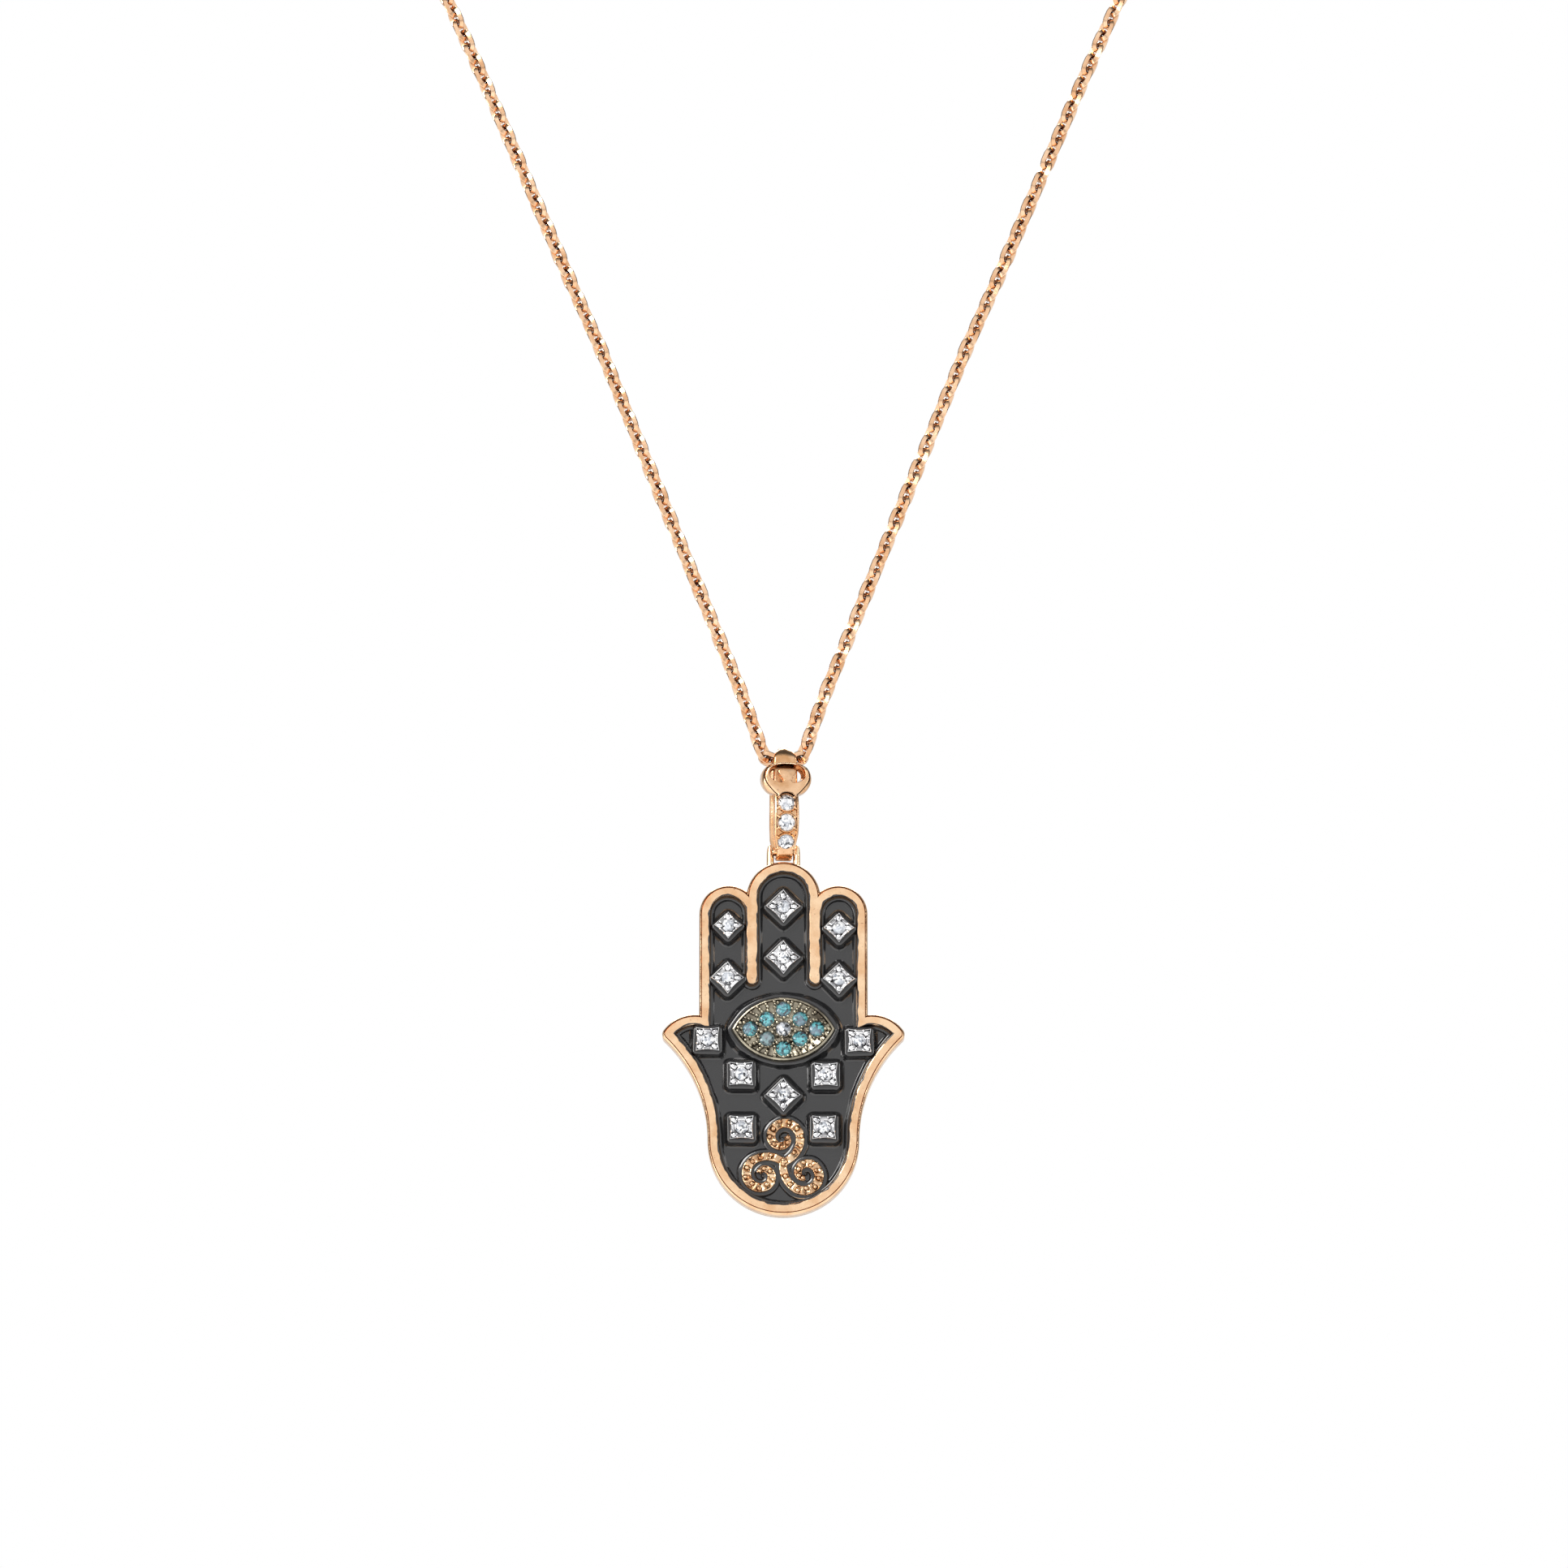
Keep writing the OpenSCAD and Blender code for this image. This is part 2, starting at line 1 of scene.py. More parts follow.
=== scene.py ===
"""Looks of the hamsa pendant: bevelled metal, black enamel, cut stones and a linked chain.

Shapes are drawn in millimetres in the same frame as the solids, and scaled to metres last.
"""

import logging
import math
import random
from collections.abc import Callable, Iterable, Sequence
from dataclasses import dataclass
from enum import Enum
from functools import partial

import bmesh
import bpy
from mathutils import Matrix, Vector, noise


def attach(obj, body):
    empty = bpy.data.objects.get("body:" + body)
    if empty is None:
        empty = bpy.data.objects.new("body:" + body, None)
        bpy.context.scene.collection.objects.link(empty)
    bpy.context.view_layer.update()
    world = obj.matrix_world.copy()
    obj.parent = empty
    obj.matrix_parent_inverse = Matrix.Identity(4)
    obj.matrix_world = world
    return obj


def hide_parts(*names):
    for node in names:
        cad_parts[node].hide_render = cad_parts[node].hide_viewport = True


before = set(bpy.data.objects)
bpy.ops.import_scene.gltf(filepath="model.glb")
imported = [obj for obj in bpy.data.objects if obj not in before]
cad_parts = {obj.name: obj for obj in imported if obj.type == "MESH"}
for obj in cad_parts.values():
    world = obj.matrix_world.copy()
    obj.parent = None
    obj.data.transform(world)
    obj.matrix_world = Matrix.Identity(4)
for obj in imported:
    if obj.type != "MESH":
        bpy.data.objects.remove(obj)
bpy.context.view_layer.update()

log = logging.getLogger("hamsa")
MM = 0.001
HANG = Vector((0.0, -104.0, -106.0))
SEED = 11

Colour = tuple[float, float, float]
Rows = tuple[tuple[float, ...], ...]
BMesh = bmesh.types.BMesh
Socket = bpy.types.NodeSocket
WHITE: Colour = (1.0, 1.0, 1.0)


class Body(Enum):
    """The moving bodies of the solids."""

    NECKLACE = "necklace"
    BAIL = "bail"
    HAMSA = "hamsa"


class Slot(Enum):
    """The material slots."""

    ROSE_GOLD = "rose_gold"
    CHAIN_GOLD = "chain_gold"
    ENAMEL = "enamel"
    EYE_METAL = "eye_metal"
    SCROLL_GOLD = "scroll_gold"
    SILVER = "silver"
    CLEAR_STONE = "clear_stone"
    TEAL_STONE = "teal_stone"


def way_at(turn: float) -> Vector:
    """The direction at an angle in the plane, in degrees."""
    return Vector((math.cos(math.radians(turn)), math.sin(math.radians(turn))))


def heading(way: Vector) -> float:
    """The angle of a direction in the plane, in degrees."""
    return math.degrees(math.atan2(way.y, way.x))


def arc(centre: Vector, radius: float, start: float, end: float, steps: int) -> list[Vector]:
    """Points along an arc in the plane, both ends included.

    Args:
        centre: Centre of the circle.
        radius: Its radius.
        start: First angle, in degrees.
        end: Last angle, in degrees.
        steps: Number of stretches between the points.

    Returns:
        The points.
    """
    turns = (start + (end - start) * i / steps for i in range(steps + 1))
    return [centre + radius * way_at(turn) for turn in turns]


def meet(c1: Vector, r1: float, c2: Vector, r2: float) -> Vector:
    """Where two circles meet, on the left of the line from the first to the second.

    Args:
        c1: Centre of the first circle.
        r1: Radius of the first circle.
        c2: Centre of the second circle.
        r2: Radius of the second circle.

    Returns:
        The point that they share.
    """
    way = c2 - c1
    dist = way.length
    a = (r1 * r1 - r2 * r2 + dist * dist) / (2 * dist)
    side = math.sqrt(max(r1 * r1 - a * a, 0.0))
    return c1 + way * (a / dist) + Vector((-way.y, way.x)) * (side / dist)


def both_sides(half: Sequence[Vector], least: float = 1e-4) -> list[Vector]:
    """Closes an outline with its mirror image over the middle line.

    Args:
        half: The outline's right half.
        least: Distance below which a point repeats its neighbour and is left out.

    Returns:
        The closed outline.
    """
    whole = [*half, *(Vector((-p.x, p.y)) for p in reversed(half))]
    return [p for i, p in enumerate(whole) if (p - whole[i - 1]).length > least]


def at_depth(points: Iterable[Vector], depth: float) -> list[Vector]:
    """Flat points lifted to a depth."""
    return [Vector((p.x, p.y, depth)) for p in points]


def rings_of(
    shape: Callable[[float], Sequence[Vector]], steps: Rows, depth: float
) -> list[list[Vector]]:
    """Rings of a flat shape.

    Args:
        shape: Gives the shape's outline, grown or drawn in by a distance.
        steps: The distance of each ring, and its lift over the depth.
        depth: The depth.

    Returns:
        The rings.
    """
    return [at_depth(shape(inset), depth + lift) for inset, lift in steps]


class Wall:
    """A wall that grows ring by ring out of a first closed outline."""

    def __init__(self, bm: BMesh, first: Sequence[Vector]) -> None:
        """Draws the first ring.

        Args:
            bm: The mesh that takes the wall.
            first: The points of the closed outline, in space.
        """
        self.bm = bm
        self.ring = self.first = [bm.verts.new(p) for p in first]
        for pair in zip(self.ring, self.ring[1:] + self.ring[:1]):
            bm.edges.new(pair)

    def edges(self, ring: list[bmesh.types.BMVert]) -> list[bmesh.types.BMEdge]:
        """The edges of a ring."""
        return [self.bm.edges.get(pair) for pair in zip(ring, ring[1:] + ring[:1])]

    def follow(self, rings: Iterable[Sequence[Vector]]) -> "Wall":
        """Extrudes the last ring to the next ones, one after the other.

        Args:
            rings: The rings, each with one place for each point of the last one.

        Returns:
            The wall itself.
        """
        for places in rings:
            made = bmesh.ops.extrude_edge_only(self.bm, edges=self.edges(self.ring))
            new = {v for v in made["geom"] if isinstance(v, bmesh.types.BMVert)}
            grown = []
            for vert, place in zip(self.ring, places):
                twin = next(v for e in vert.link_edges if (v := e.other_vert(vert)) in new)
                twin.co = place
                grown.append(twin)
            self.ring = grown
        return self

    def fill(self, *rings: list[bmesh.types.BMVert]) -> None:
        """Fills the flat space inside a ring, or between two."""
        edges = [edge for ring in rings for edge in self.edges(ring)]
        bmesh.ops.triangle_fill(self.bm, use_beauty=True, edges=edges)

    def close(self) -> None:
        """Closes both ends with flat fills."""
        self.fill(self.ring)
        self.fill(self.first)

    def join(self) -> None:
        """Bridges the last ring to the first, for a wall that closes on itself."""
        edges = self.edges(self.ring) + self.edges(self.first)
        bmesh.ops.bridge_loops(self.bm, edges=edges)


def loft(bm: BMesh, rings: Iterable[Sequence[Vector]]) -> Wall:
    """Draws a wall through rings, and leaves its ends open."""
    first, *rest = rings
    return Wall(bm, first).follow(rest)


def sweep(bm: BMesh, path: Sequence[Vector], radius: float, sides: int) -> None:
    """Sweeps a round wire along an open path.

    Args:
        bm: The mesh that takes the wire.
        path: The points of its middle line.
        radius: The wire's radius.
        sides: Number of its sides.
    """
    last = len(path) - 1
    turns = [math.tau * k / sides for k in range(sides)]
    up = (path[1] - path[0]).orthogonal().normalized()
    rings = []
    for i, spot in enumerate(path):
        way = (path[min(i + 1, last)] - path[max(i - 1, 0)]).normalized()
        up = (up - way * up.dot(way)).normalized()
        side = way.cross(up)
        rings.append([spot + radius * (math.cos(t) * up + math.sin(t) * side) for t in turns])
    loft(bm, rings).close()


def bead(bm: BMesh, spot: Vector, radius: float, sides: int = 10) -> None:
    """Sets a round bead at a spot.

    Args:
        bm: The mesh that takes the bead.
        spot: Its centre.
        radius: Its radius.
        sides: Number of its sides round the middle.
    """
    bmesh.ops.create_uvsphere(
        bm,
        u_segments=sides,
        v_segments=max(sides // 2, 5),
        radius=radius,
        matrix=Matrix.Translation(spot),
    )


def to_mesh(name: str, bm: BMesh) -> bpy.types.Mesh:
    """Makes a mesh for objects.

    Args:
        name: The mesh's name.
        bm: Its faces, which are used up.

    Returns:
        The mesh.
    """
    mesh = bpy.data.meshes.new(name)
    bm.to_mesh(mesh)
    bm.free()
    return mesh


def to_scene(name: str, data: bpy.types.ID) -> bpy.types.Object:
    """Adds an object to the scene.

    Args:
        name: The object's name.
        data: Its mesh, light or camera.

    Returns:
        The object, at the origin.
    """
    made = bpy.data.objects.new(name, data)
    bpy.context.scene.collection.objects.link(made)
    return made


def add_part(bm: BMesh, part: BMesh, place: Matrix) -> None:
    """Adds a part to a mesh, and uses the part up.

    Args:
        bm: The mesh that takes it.
        part: The part.
        place: Where it goes.
    """
    bmesh.ops.transform(part, matrix=place, verts=part.verts)
    mesh = to_mesh("part", part)
    bm.from_mesh(mesh)
    bpy.data.meshes.remove(mesh)


def lookup(table: Sequence[tuple[float, float]], x: float) -> float:
    """Reads a table of rising pairs, straight between its rows and level outside them."""
    if x <= table[0][0]:
        return table[0][1]
    for (x0, y0), (x1, y1) in zip(table, table[1:]):
        if x <= x1:
            return y0 + (y1 - y0) * (x - x0) / (x1 - x0)
    return table[-1][1]


def through(points: Sequence[Vector], steps: int) -> list[Vector]:
    """A smooth closed line through points.

    Args:
        points: The points, in order.
        steps: How many parts each stretch between two points gets.

    Returns:
        The line's points.
    """
    n = len(points)
    line = []
    for k in range(n):
        a, b, c, d = (points[(k + j) % n] for j in (-1, 0, 1, 2))
        for step in range(steps):
            t = step / steps
            bent = (a * 2 - b * 5 + c * 4 - d) * t**2 + (b * 3 - a - c * 3 + d) * t**3
            line.append((b * 2 + (c - a) * t + bent) / 2)
    return line


class Graph:
    """The nodes of a material or a world, with short ways to add and link them."""

    def __init__(self, holder: bpy.types.Material | bpy.types.World) -> None:
        """Empties the nodes.

        Args:
            holder: The material or the world.
        """
        holder.use_nodes = True
        self.holder = holder
        self.tree = holder.node_tree
        self.tree.nodes.clear()
        self.place = self.add("ShaderNodeTexCoord").outputs

    def add(self, kind: str, **values: object) -> bpy.types.Node:
        """Adds a node.

        Args:
            kind: The node's type.
            **values: Its sockets by name with _ for a space, or its settings in lower case.

        Returns:
            The node.
        """
        made = self.tree.nodes.new(kind)
        for key, value in values.items():
            if hasattr(made, key):
                setattr(made, key, value)
            else:
                self.feed(made.inputs[key.replace("_", " ")], value)
        return made

    def feed(self, socket: Socket, value: object) -> None:
        """Gives a socket a link or a constant.

        Args:
            socket: The socket.
            value: The output that it is linked to, or the constant.
        """
        if isinstance(value, Socket):
            self.tree.links.new(value, socket)
        else:
            socket.default_value = value

    def noise(
        self,
        scale: float,
        detail: float = 3.0,
        rough: float = 0.5,
        at: Socket | None = None,
        output: str = "Fac",
    ) -> Socket:
        """Cloudy noise.

        Args:
            scale: Its features to the metre.
            detail: Number of its finer layers.
            rough: How strong they are.
            at: Where it is read, by default the piece's own place.
            output: The output that is wanted.

        Returns:
            The output.
        """
        spot = at or self.place["Object"]
        made = self.add(
            "ShaderNodeTexNoise", Vector=spot, Scale=scale, Detail=detail, Roughness=rough
        )
        return made.outputs[output]

    def ramp(self, source: Socket, stops: Sequence[tuple[float, Colour]]) -> Socket:
        """Turns a number into a colour.

        Args:
            source: The number.
            stops: The ramp's places and colours, in order.

        Returns:
            The colour.
        """
        made = self.add("ShaderNodeValToRGB", Fac=source)
        ends = made.color_ramp.elements
        while len(ends) < len(stops):
            ends.new(0.5)
        for end, (spot, colour) in zip(ends, stops):
            end.position = spot
            end.color = (*colour, 1.0)
        return made.outputs["Color"]

    def between(self, source: Socket, low: float, high: float) -> Socket:
        """Maps the usual range of a noise onto low to high."""
        span = {"From_Min": 0.3, "From_Max": 0.7, "To_Min": low, "To_Max": high}
        return self.add("ShaderNodeMapRange", Value=source, **span).outputs["Result"]

    def mix(self, share: object, base: object, over: object, blend: str = "MIX") -> Socket:
        """Lays a colour over another one.

        Args:
            share: How much of it is laid over, a link or a constant as the others.
            base: The lower colour.
            over: The upper colour.
            blend: How they blend.

        Returns:
            The mixed colour.
        """
        made = self.add("ShaderNodeMix", data_type="RGBA", blend_type=blend)
        for number, value in ((0, share), (6, base), (7, over)):
            self.feed(made.inputs[number], value)
        return made.outputs[2]

    def bump(self, height: Socket, depth: float, **below: Socket) -> Socket:
        """Raises a surface by a height map, by a depth in millimetres."""
        values = {"Height": height, "Strength": 1.0, "Distance": depth * MM, **below}
        return self.add("ShaderNodeBump", **values).outputs["Normal"]

    def surface(self, **values: object) -> bpy.types.Material:
        """Closes a material with its shader.

        Args:
            **values: The shader's sockets.

        Returns:
            The material.
        """
        shader = self.add("ShaderNodeBsdfPrincipled", **values)
        self.add("ShaderNodeOutputMaterial", Surface=shader.outputs["BSDF"])
        return self.holder


@dataclass(frozen=True)
class PolishedGold:
    """Polished gold with cloudy alloy tint, buffing marks, small dents, sparse pits and painted
    shade in its crevices.

    Attributes:
        name: The material's name.
        light: Colour of the bright alloy.
        deep: Colour where the alloy is redder.
        gloss: Least roughness.
        haze: Greatest roughness.
        dent: Depth of the small dents, in millimetres.
        shade: Colour of the painted shade in the crevices, and of the pits.
        crevice: How far the painted shade reaches out of a crevice, in millimetres.
        clouds: Clouds of alloy to the metre, as the four that follow.
    """

    name: str
    light: Colour
    deep: Colour
    gloss: float = 0.1
    haze: float = 0.24
    dent: float = 0.006
    shade: Colour = (0.2, 0.07, 0.025)
    crevice: float = 0.35
    clouds: float = 900.0
    pits: float = 9000.0
    marks: float = 2600.0
    dents: float = 3800.0
    swells: float = 700.0

    def material(self) -> bpy.types.Material:
        """Builds the material."""
        g = Graph(bpy.data.materials.new(self.name))
        tint = g.ramp(g.noise(self.clouds, 4.0), [(0.32, self.deep), (0.62, self.light)])
        # Painted shade: ambient occlusion darkens the colour towards the shade colour in crevices.
        nook = g.add("ShaderNodeAmbientOcclusion", samples=8, Distance=self.crevice * MM)
        crevice_shade = g.ramp(nook.outputs["AO"], [(0.12, self.shade), (0.62, WHITE)])
        pitted = g.ramp(g.noise(self.pits, 2.0, 0.4), [(0.24, self.shade), (0.3, WHITE)])
        colour = g.mix(0.55, g.mix(1.0, tint, crevice_shade, "MULTIPLY"), pitted, "MULTIPLY")
        streak = g.add("ShaderNodeMapping", Vector=g.place["Object"], Scale=(1.0, 1.0, 9.0))
        marks = g.noise(self.marks, 5.0, at=streak.outputs["Vector"])
        dents = g.bump(g.noise(self.dents, 2.0), self.dent)
        swell = g.bump(g.noise(self.swells, 1.0), self.dent * 4, Normal=dents)
        rough = g.between(marks, self.gloss, self.haze)
        return g.surface(Base_Color=colour, Metallic=1.0, Roughness=rough, Normal=swell)


@dataclass(frozen=True)
class BlackEnamel:
    """Glossy black enamel, poured by hand, with a soft swell and a few specks.

    Attributes:
        name: The material's name.
        body: Colour of the glass itself.
        speck: Colour of the specks.
        swell: Height of the soft unevenness, in millimetres.
        specks: Specks to the metre.
        hazes: Hazy patches to the metre.
        swells: Soft swells to the metre.
    """

    name: str = "Black_enamel"
    body: Colour = (0.012, 0.012, 0.013)
    speck: Colour = (0.05, 0.045, 0.04)
    swell: float = 0.03
    specks: float = 5200.0
    hazes: float = 1300.0
    swells: float = 420.0

    def material(self) -> bpy.types.Material:
        """Builds the material."""
        g = Graph(bpy.data.materials.new(self.name))
        return g.surface(
            Base_Color=g.ramp(
                g.noise(self.specks, 6.0, 0.7), [(0.66, self.body), (0.8, self.speck)]
            ),
            Roughness=g.between(g.noise(self.hazes), 0.09, 0.17),
            IOR=1.6,
            Normal=g.bump(g.noise(self.swells, 1.0), self.swell),
            Coat_Weight=0.35,
            Coat_Roughness=0.04,
        )


@dataclass(frozen=True)
class CutStone:
    """A cut stone whose facets carry painted glints and painted dark reflections, tinted in its
    own colour.

    Attributes:
        name: The material's name.
        dark: Colour of the painted dark reflections.
        middle: Colour between them.
        bright: Colour of the painted glints.
        cloud: Colour of the soft clouds inside it.
        grain: Patches to the metre.
        clear: Share of light that goes through.
        bend: How far the patches' edges stray, in millimetres.
        bends: Strays to the metre.
        clouds: Clouds to the metre.
        tilt: Height of the patches' tilt, in millimetres.
    """

    name: str
    dark: Colour
    middle: Colour
    bright: Colour
    cloud: Colour
    grain: float = 5200.0
    clear: float = 0.1
    bend: float = 0.25
    bends: float = 2600.0
    clouds: float = 1500.0
    tilt: float = 0.05

    def material(self) -> bpy.types.Material:
        """Builds the material."""
        g = Graph(bpy.data.materials.new(self.name))
        shift = g.add("ShaderNodeVectorMath", operation="SCALE", Scale=self.bend * MM)
        g.feed(shift.inputs[0], g.noise(self.bends, 2.0, output="Color"))
        spot = g.add("ShaderNodeVectorMath", operation="ADD")
        g.feed(spot.inputs[0], g.place["Object"])
        g.feed(spot.inputs[1], shift.outputs["Vector"])
        # Painted light: Voronoi cells paint glints and dark reflections onto the facets.
        cells = g.add("ShaderNodeTexVoronoi", Scale=self.grain, Vector=spot.outputs["Vector"])
        pick = g.add("ShaderNodeSeparateColor", Color=cells.outputs["Color"]).outputs
        stops = [(0.2, self.dark), (0.27, self.middle), (0.44, self.middle), (0.58, self.bright)]
        painted_facet_light = g.ramp(pick["Red"], stops)
        veil = g.ramp(
            g.noise(self.clouds, 2.0), [(0.48, (0.0, 0.0, 0.0)), (0.6, (0.7, 0.7, 0.7))]
        )
        return g.surface(
            Base_Color=g.mix(veil, painted_facet_light, (*self.cloud, 1.0)),
            Roughness=0.06,
            IOR=1.9,
            Normal=g.bump(pick["Green"], self.tilt),
            Transmission_Weight=self.clear,
        )


# Each gold's shade colour, given last or by default, is painted shade in its crevices and also the
# colour of its pits.
ROSE_GOLD = PolishedGold("Rose_gold", (0.95, 0.68, 0.44), (0.82, 0.5, 0.28))
BAIL_GOLD = PolishedGold(
    "Bail_gold", (0.88, 0.58, 0.36), (0.66, 0.36, 0.17), 0.1, 0.22, 0.008, (0.1, 0.035, 0.012)
)
CHAIN_GOLD = PolishedGold("Chain_gold", (0.94, 0.64, 0.42), (0.76, 0.42, 0.22), 0.1, 0.2, 0.002)
SCROLL_GOLD = PolishedGold(
    "Scroll_gold", (0.82, 0.58, 0.37), (0.4, 0.2, 0.09), 0.12, 0.28, 0.03, (0.03, 0.012, 0.005)
)
EYE_METAL = PolishedGold(
    "Champagne_gold",
    light=(0.52, 0.47, 0.36),
    deep=(0.12, 0.1, 0.075),
    gloss=0.12,
    haze=0.3,
    dent=0.02,
    shade=(0.004, 0.004, 0.003),
)
WHITE_GOLD = PolishedGold(
    "White_gold", (0.94, 0.94, 0.95), (0.5, 0.5, 0.52), 0.06, 0.16, 0.03, (0.008, 0.008, 0.01)
)
ENAMEL = BlackEnamel()
# The stones' dark and bright colours are painted dark reflections and painted glints.
CLEAR_STONE = CutStone(
    "Clear_stone",
    dark=(0.008, 0.012, 0.02),
    middle=(0.32, 0.35, 0.4),
    bright=(1.0, 1.0, 1.0),
    cloud=(0.6, 0.63, 0.69),
    grain=7600.0,
)
TEAL_STONE = CutStone(
    "Teal_stone",
    dark=(0.0, 0.03, 0.04),
    middle=(0.03, 0.19, 0.23),
    bright=(0.12, 0.47, 0.52),
    cloud=(0.17, 0.2, 0.27),
    grain=6800.0,
)
GREY_STONE = CutStone(
    "Grey_teal_stone",
    dark=(0.03, 0.05, 0.06),
    middle=(0.12, 0.18, 0.2),
    bright=(0.2, 0.32, 0.34),
    cloud=(0.2, 0.22, 0.26),
    grain=5200.0,
)


def to_piece(
    name: str,
    bm: BMesh,
    place: Matrix,
    finish: bpy.types.Material,
    sharp: float = 32.0,
) -> bpy.types.Object:
    """Sets a finished mesh in its place and makes it an object at the origin.

    Args:
        name: The piece's name.
        bm: Its mesh in millimetres, which is used up.
        place: Where the mesh goes, in millimetres.
        finish: Its material.
        sharp: Angle past which an edge stays sharp, in degrees.

    Returns:
        The object.
    """
    bmesh.ops.transform(bm, matrix=Matrix.Scale(MM, 4) @ place, verts=bm.verts)
    bmesh.ops.recalc_face_normals(bm, faces=bm.faces)
    for face in bm.faces:
        face.smooth = True
    for edge in bm.edges:
        edge.smooth = edge.calc_face_angle(0.0) < math.radians(sharp)
    mesh = to_mesh(name, bm)
    mesh.materials.append(finish)
    return to_scene(name, mesh)


def settle(piece: bpy.types.Object, body: Body, nodes: Iterable[str]) -> None:
    """Lets a piece ride on its body, in place of its nodes.

    Args:
        piece: The piece.
        body: The body that it rides on.
        nodes: The solids that it stands for.
    """
    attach(piece, body.value)
    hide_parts(*nodes)
    log.info("%s: %d faces", piece.name, len(piece.data.polygons))


@dataclass
class Hand:
    """The cast hand: raised rim, bars between the fingers, closed back and eyelet.

    Attributes:
        height: From the palm's foot to the middle finger's tip.
        width: Across the three fingers.
        depth: From the back to the front of the rim.
        thumb_share: Height of the thumbs' centres, as a share of the hand's.
        bar_share: The same for the foot of the bars between the fingers.
        eyelet_share: Depth of the eyelet's wire, as a share of the hand's.
        foot_steps: How far the rim's foot is drawn in, and how high it stands there.
        rim_steps: How far the rim's edge is drawn in, and its lift over the front.
        lip_steps: The same for the recess inside the rim.
        lug: Height, inner and outer side and half thickness of the lugs beside the eyelet.
        pad: Height, half width and half thickness of the pad between the lugs.
    """

    height: float = 25.1
    width: float = 11.8
    depth: float = 1.7
    palm_r: float = 5.3
    waist_r: float = 10.0
    thumb_x: float = 6.2
    thumb_r: float = 2.7
    thumb_tip_r: float = 0.45
    finger_r: float = 2.6
    side_finger_r: float = 2.05
    side_finger_drop: float = 1.7
    rim: float = 0.75
    bar: float = 0.85
    bar_x: float = 2.2
    back: float = 0.5
    floor_drop: float = 0.65
    eyelet_wire: float = 0.45
    eyelet_w: float = 1.9
    eyelet_rise: float = 0.87
    eyelet_bend: float = 0.42
    eyelet_z: float = -112.525
    thumb_share: float = 0.458
    bar_share: float = 0.65
    eyelet_share: float = 0.43
    foot_steps: Rows = ((0.16, 0.0), (0.12, 0.0), (0.03, 0.03), (0.0, 0.12))
    rim_steps: Rows = (
        (0.0, -0.22), (0.025, -0.16), (0.07, -0.09), (0.12, -0.05),
        (0.15, -0.11), (0.18, -0.03), (0.2, 0.0), (0.22, 0.0),
    )
    lip_steps: Rows = ((-0.14, 0.0), (-0.11, 0.0), (-0.05, -0.015), (-0.01, -0.06), (0.0, -0.12))
    lug: Rows = (
        (0.0, 0.67, 1.19, 0.34), (1.1, 0.67, 1.18, 0.3), (1.42, 0.75, 1.15, 0.26),
        (1.62, 0.81, 1.09, 0.22), (1.7, 0.88, 1.02, 0.12),
    )
    pad: Rows = ((-0.4, 0.72, 0.24), (0.02, 0.72, 0.24), (0.05, 0.69, 0.2))

    @property
    def half(self) -> float:
        """Half of the width across the fingers."""
        return self.width / 2

    @property
    def tip_y(self) -> float:
        """Height of the middle finger's tip over the palm's centre."""
        return self.height - self.palm_r

    @property
    def thumb_y(self) -> float:
        """Height of the thumbs' centres over the palm's centre."""
        return self.thumb_share * self.height - self.palm_r

    @property
    def floor(self) -> float:
        """Depth of the enamel's floor."""
        return self.depth - self.floor_drop

    @property
    def eyelet_depth(self) -> float:
        """Depth of the hinge in the hand's thickness."""
        return self.eyelet_share * self.depth

    def place(self) -> Matrix:
        """The turn and shift that sets the hand's flat drawings upright."""
        foot = self.eyelet_z - self.eyelet_rise - self.height + self.palm_r
        shift = Matrix.Translation((HANG.x, HANG.y + self.eyelet_depth, foot))
        return shift @ Matrix.Rotation(math.pi / 2, 4, "X")

    def lower_side(self, inset: float) -> list[Vector]:
        """The right side from the palm's foot up to the thumb's top corner.

        Args:
            inset: How far it is drawn in from the outline.

        Returns:
            The points, from the foot up.
        """
        thumb = Vector((self.thumb_x, self.thumb_y))
        waist = Vector((self.palm_r + self.waist_r, 0.0))
        tip_r = max(self.thumb_tip_r, inset)
        tip = meet(thumb, self.thumb_r - tip_r, waist, self.waist_r + tip_r)
        x = self.half - inset
        corner = Vector(
            (x, self.thumb_y + math.sqrt((self.thumb_r - inset) ** 2 - (x - self.thumb_x) ** 2))
        )
        to_tip = heading(tip - thumb)
        to_waist = heading(tip - waist)
        points = arc(Vector((0.0, 0.0)), self.palm_r - inset, -90, 0, 26)
        points += arc(waist, self.waist_r + inset, 180, to_waist, 22)
        if tip_r > inset:
            points += arc(tip, tip_r - inset, to_waist - 180, to_tip, 10)
        points += arc(thumb, self.thumb_r - inset, to_tip, heading(corner - thumb), 14)
        return points

    def outline(self, inset: float) -> list[Vector]:
        """The hand's outline, drawn in on all sides.

        Args:
            inset: How far it is drawn in.

        Returns:
            The closed outline, from the foot up on the right.
        """
        side_y = self.tip_y - self.side_finger_drop - self.side_finger_r
        side = Vector((self.half - self.side_finger_r, side_y))
        middle = Vector((0.0, self.tip_y - self.finger_r))
        notch = meet(middle, self.finger_r - inset, side, self.side_finger_r - inset)
        points = self.lower_side(inset)
        points += arc(side, self.side_finger_r - inset, 0, heading(notch - side), 20)
        points += arc(middle, self.finger_r - inset, heading(notch - middle), 90, 20)
        return both_sides(points)

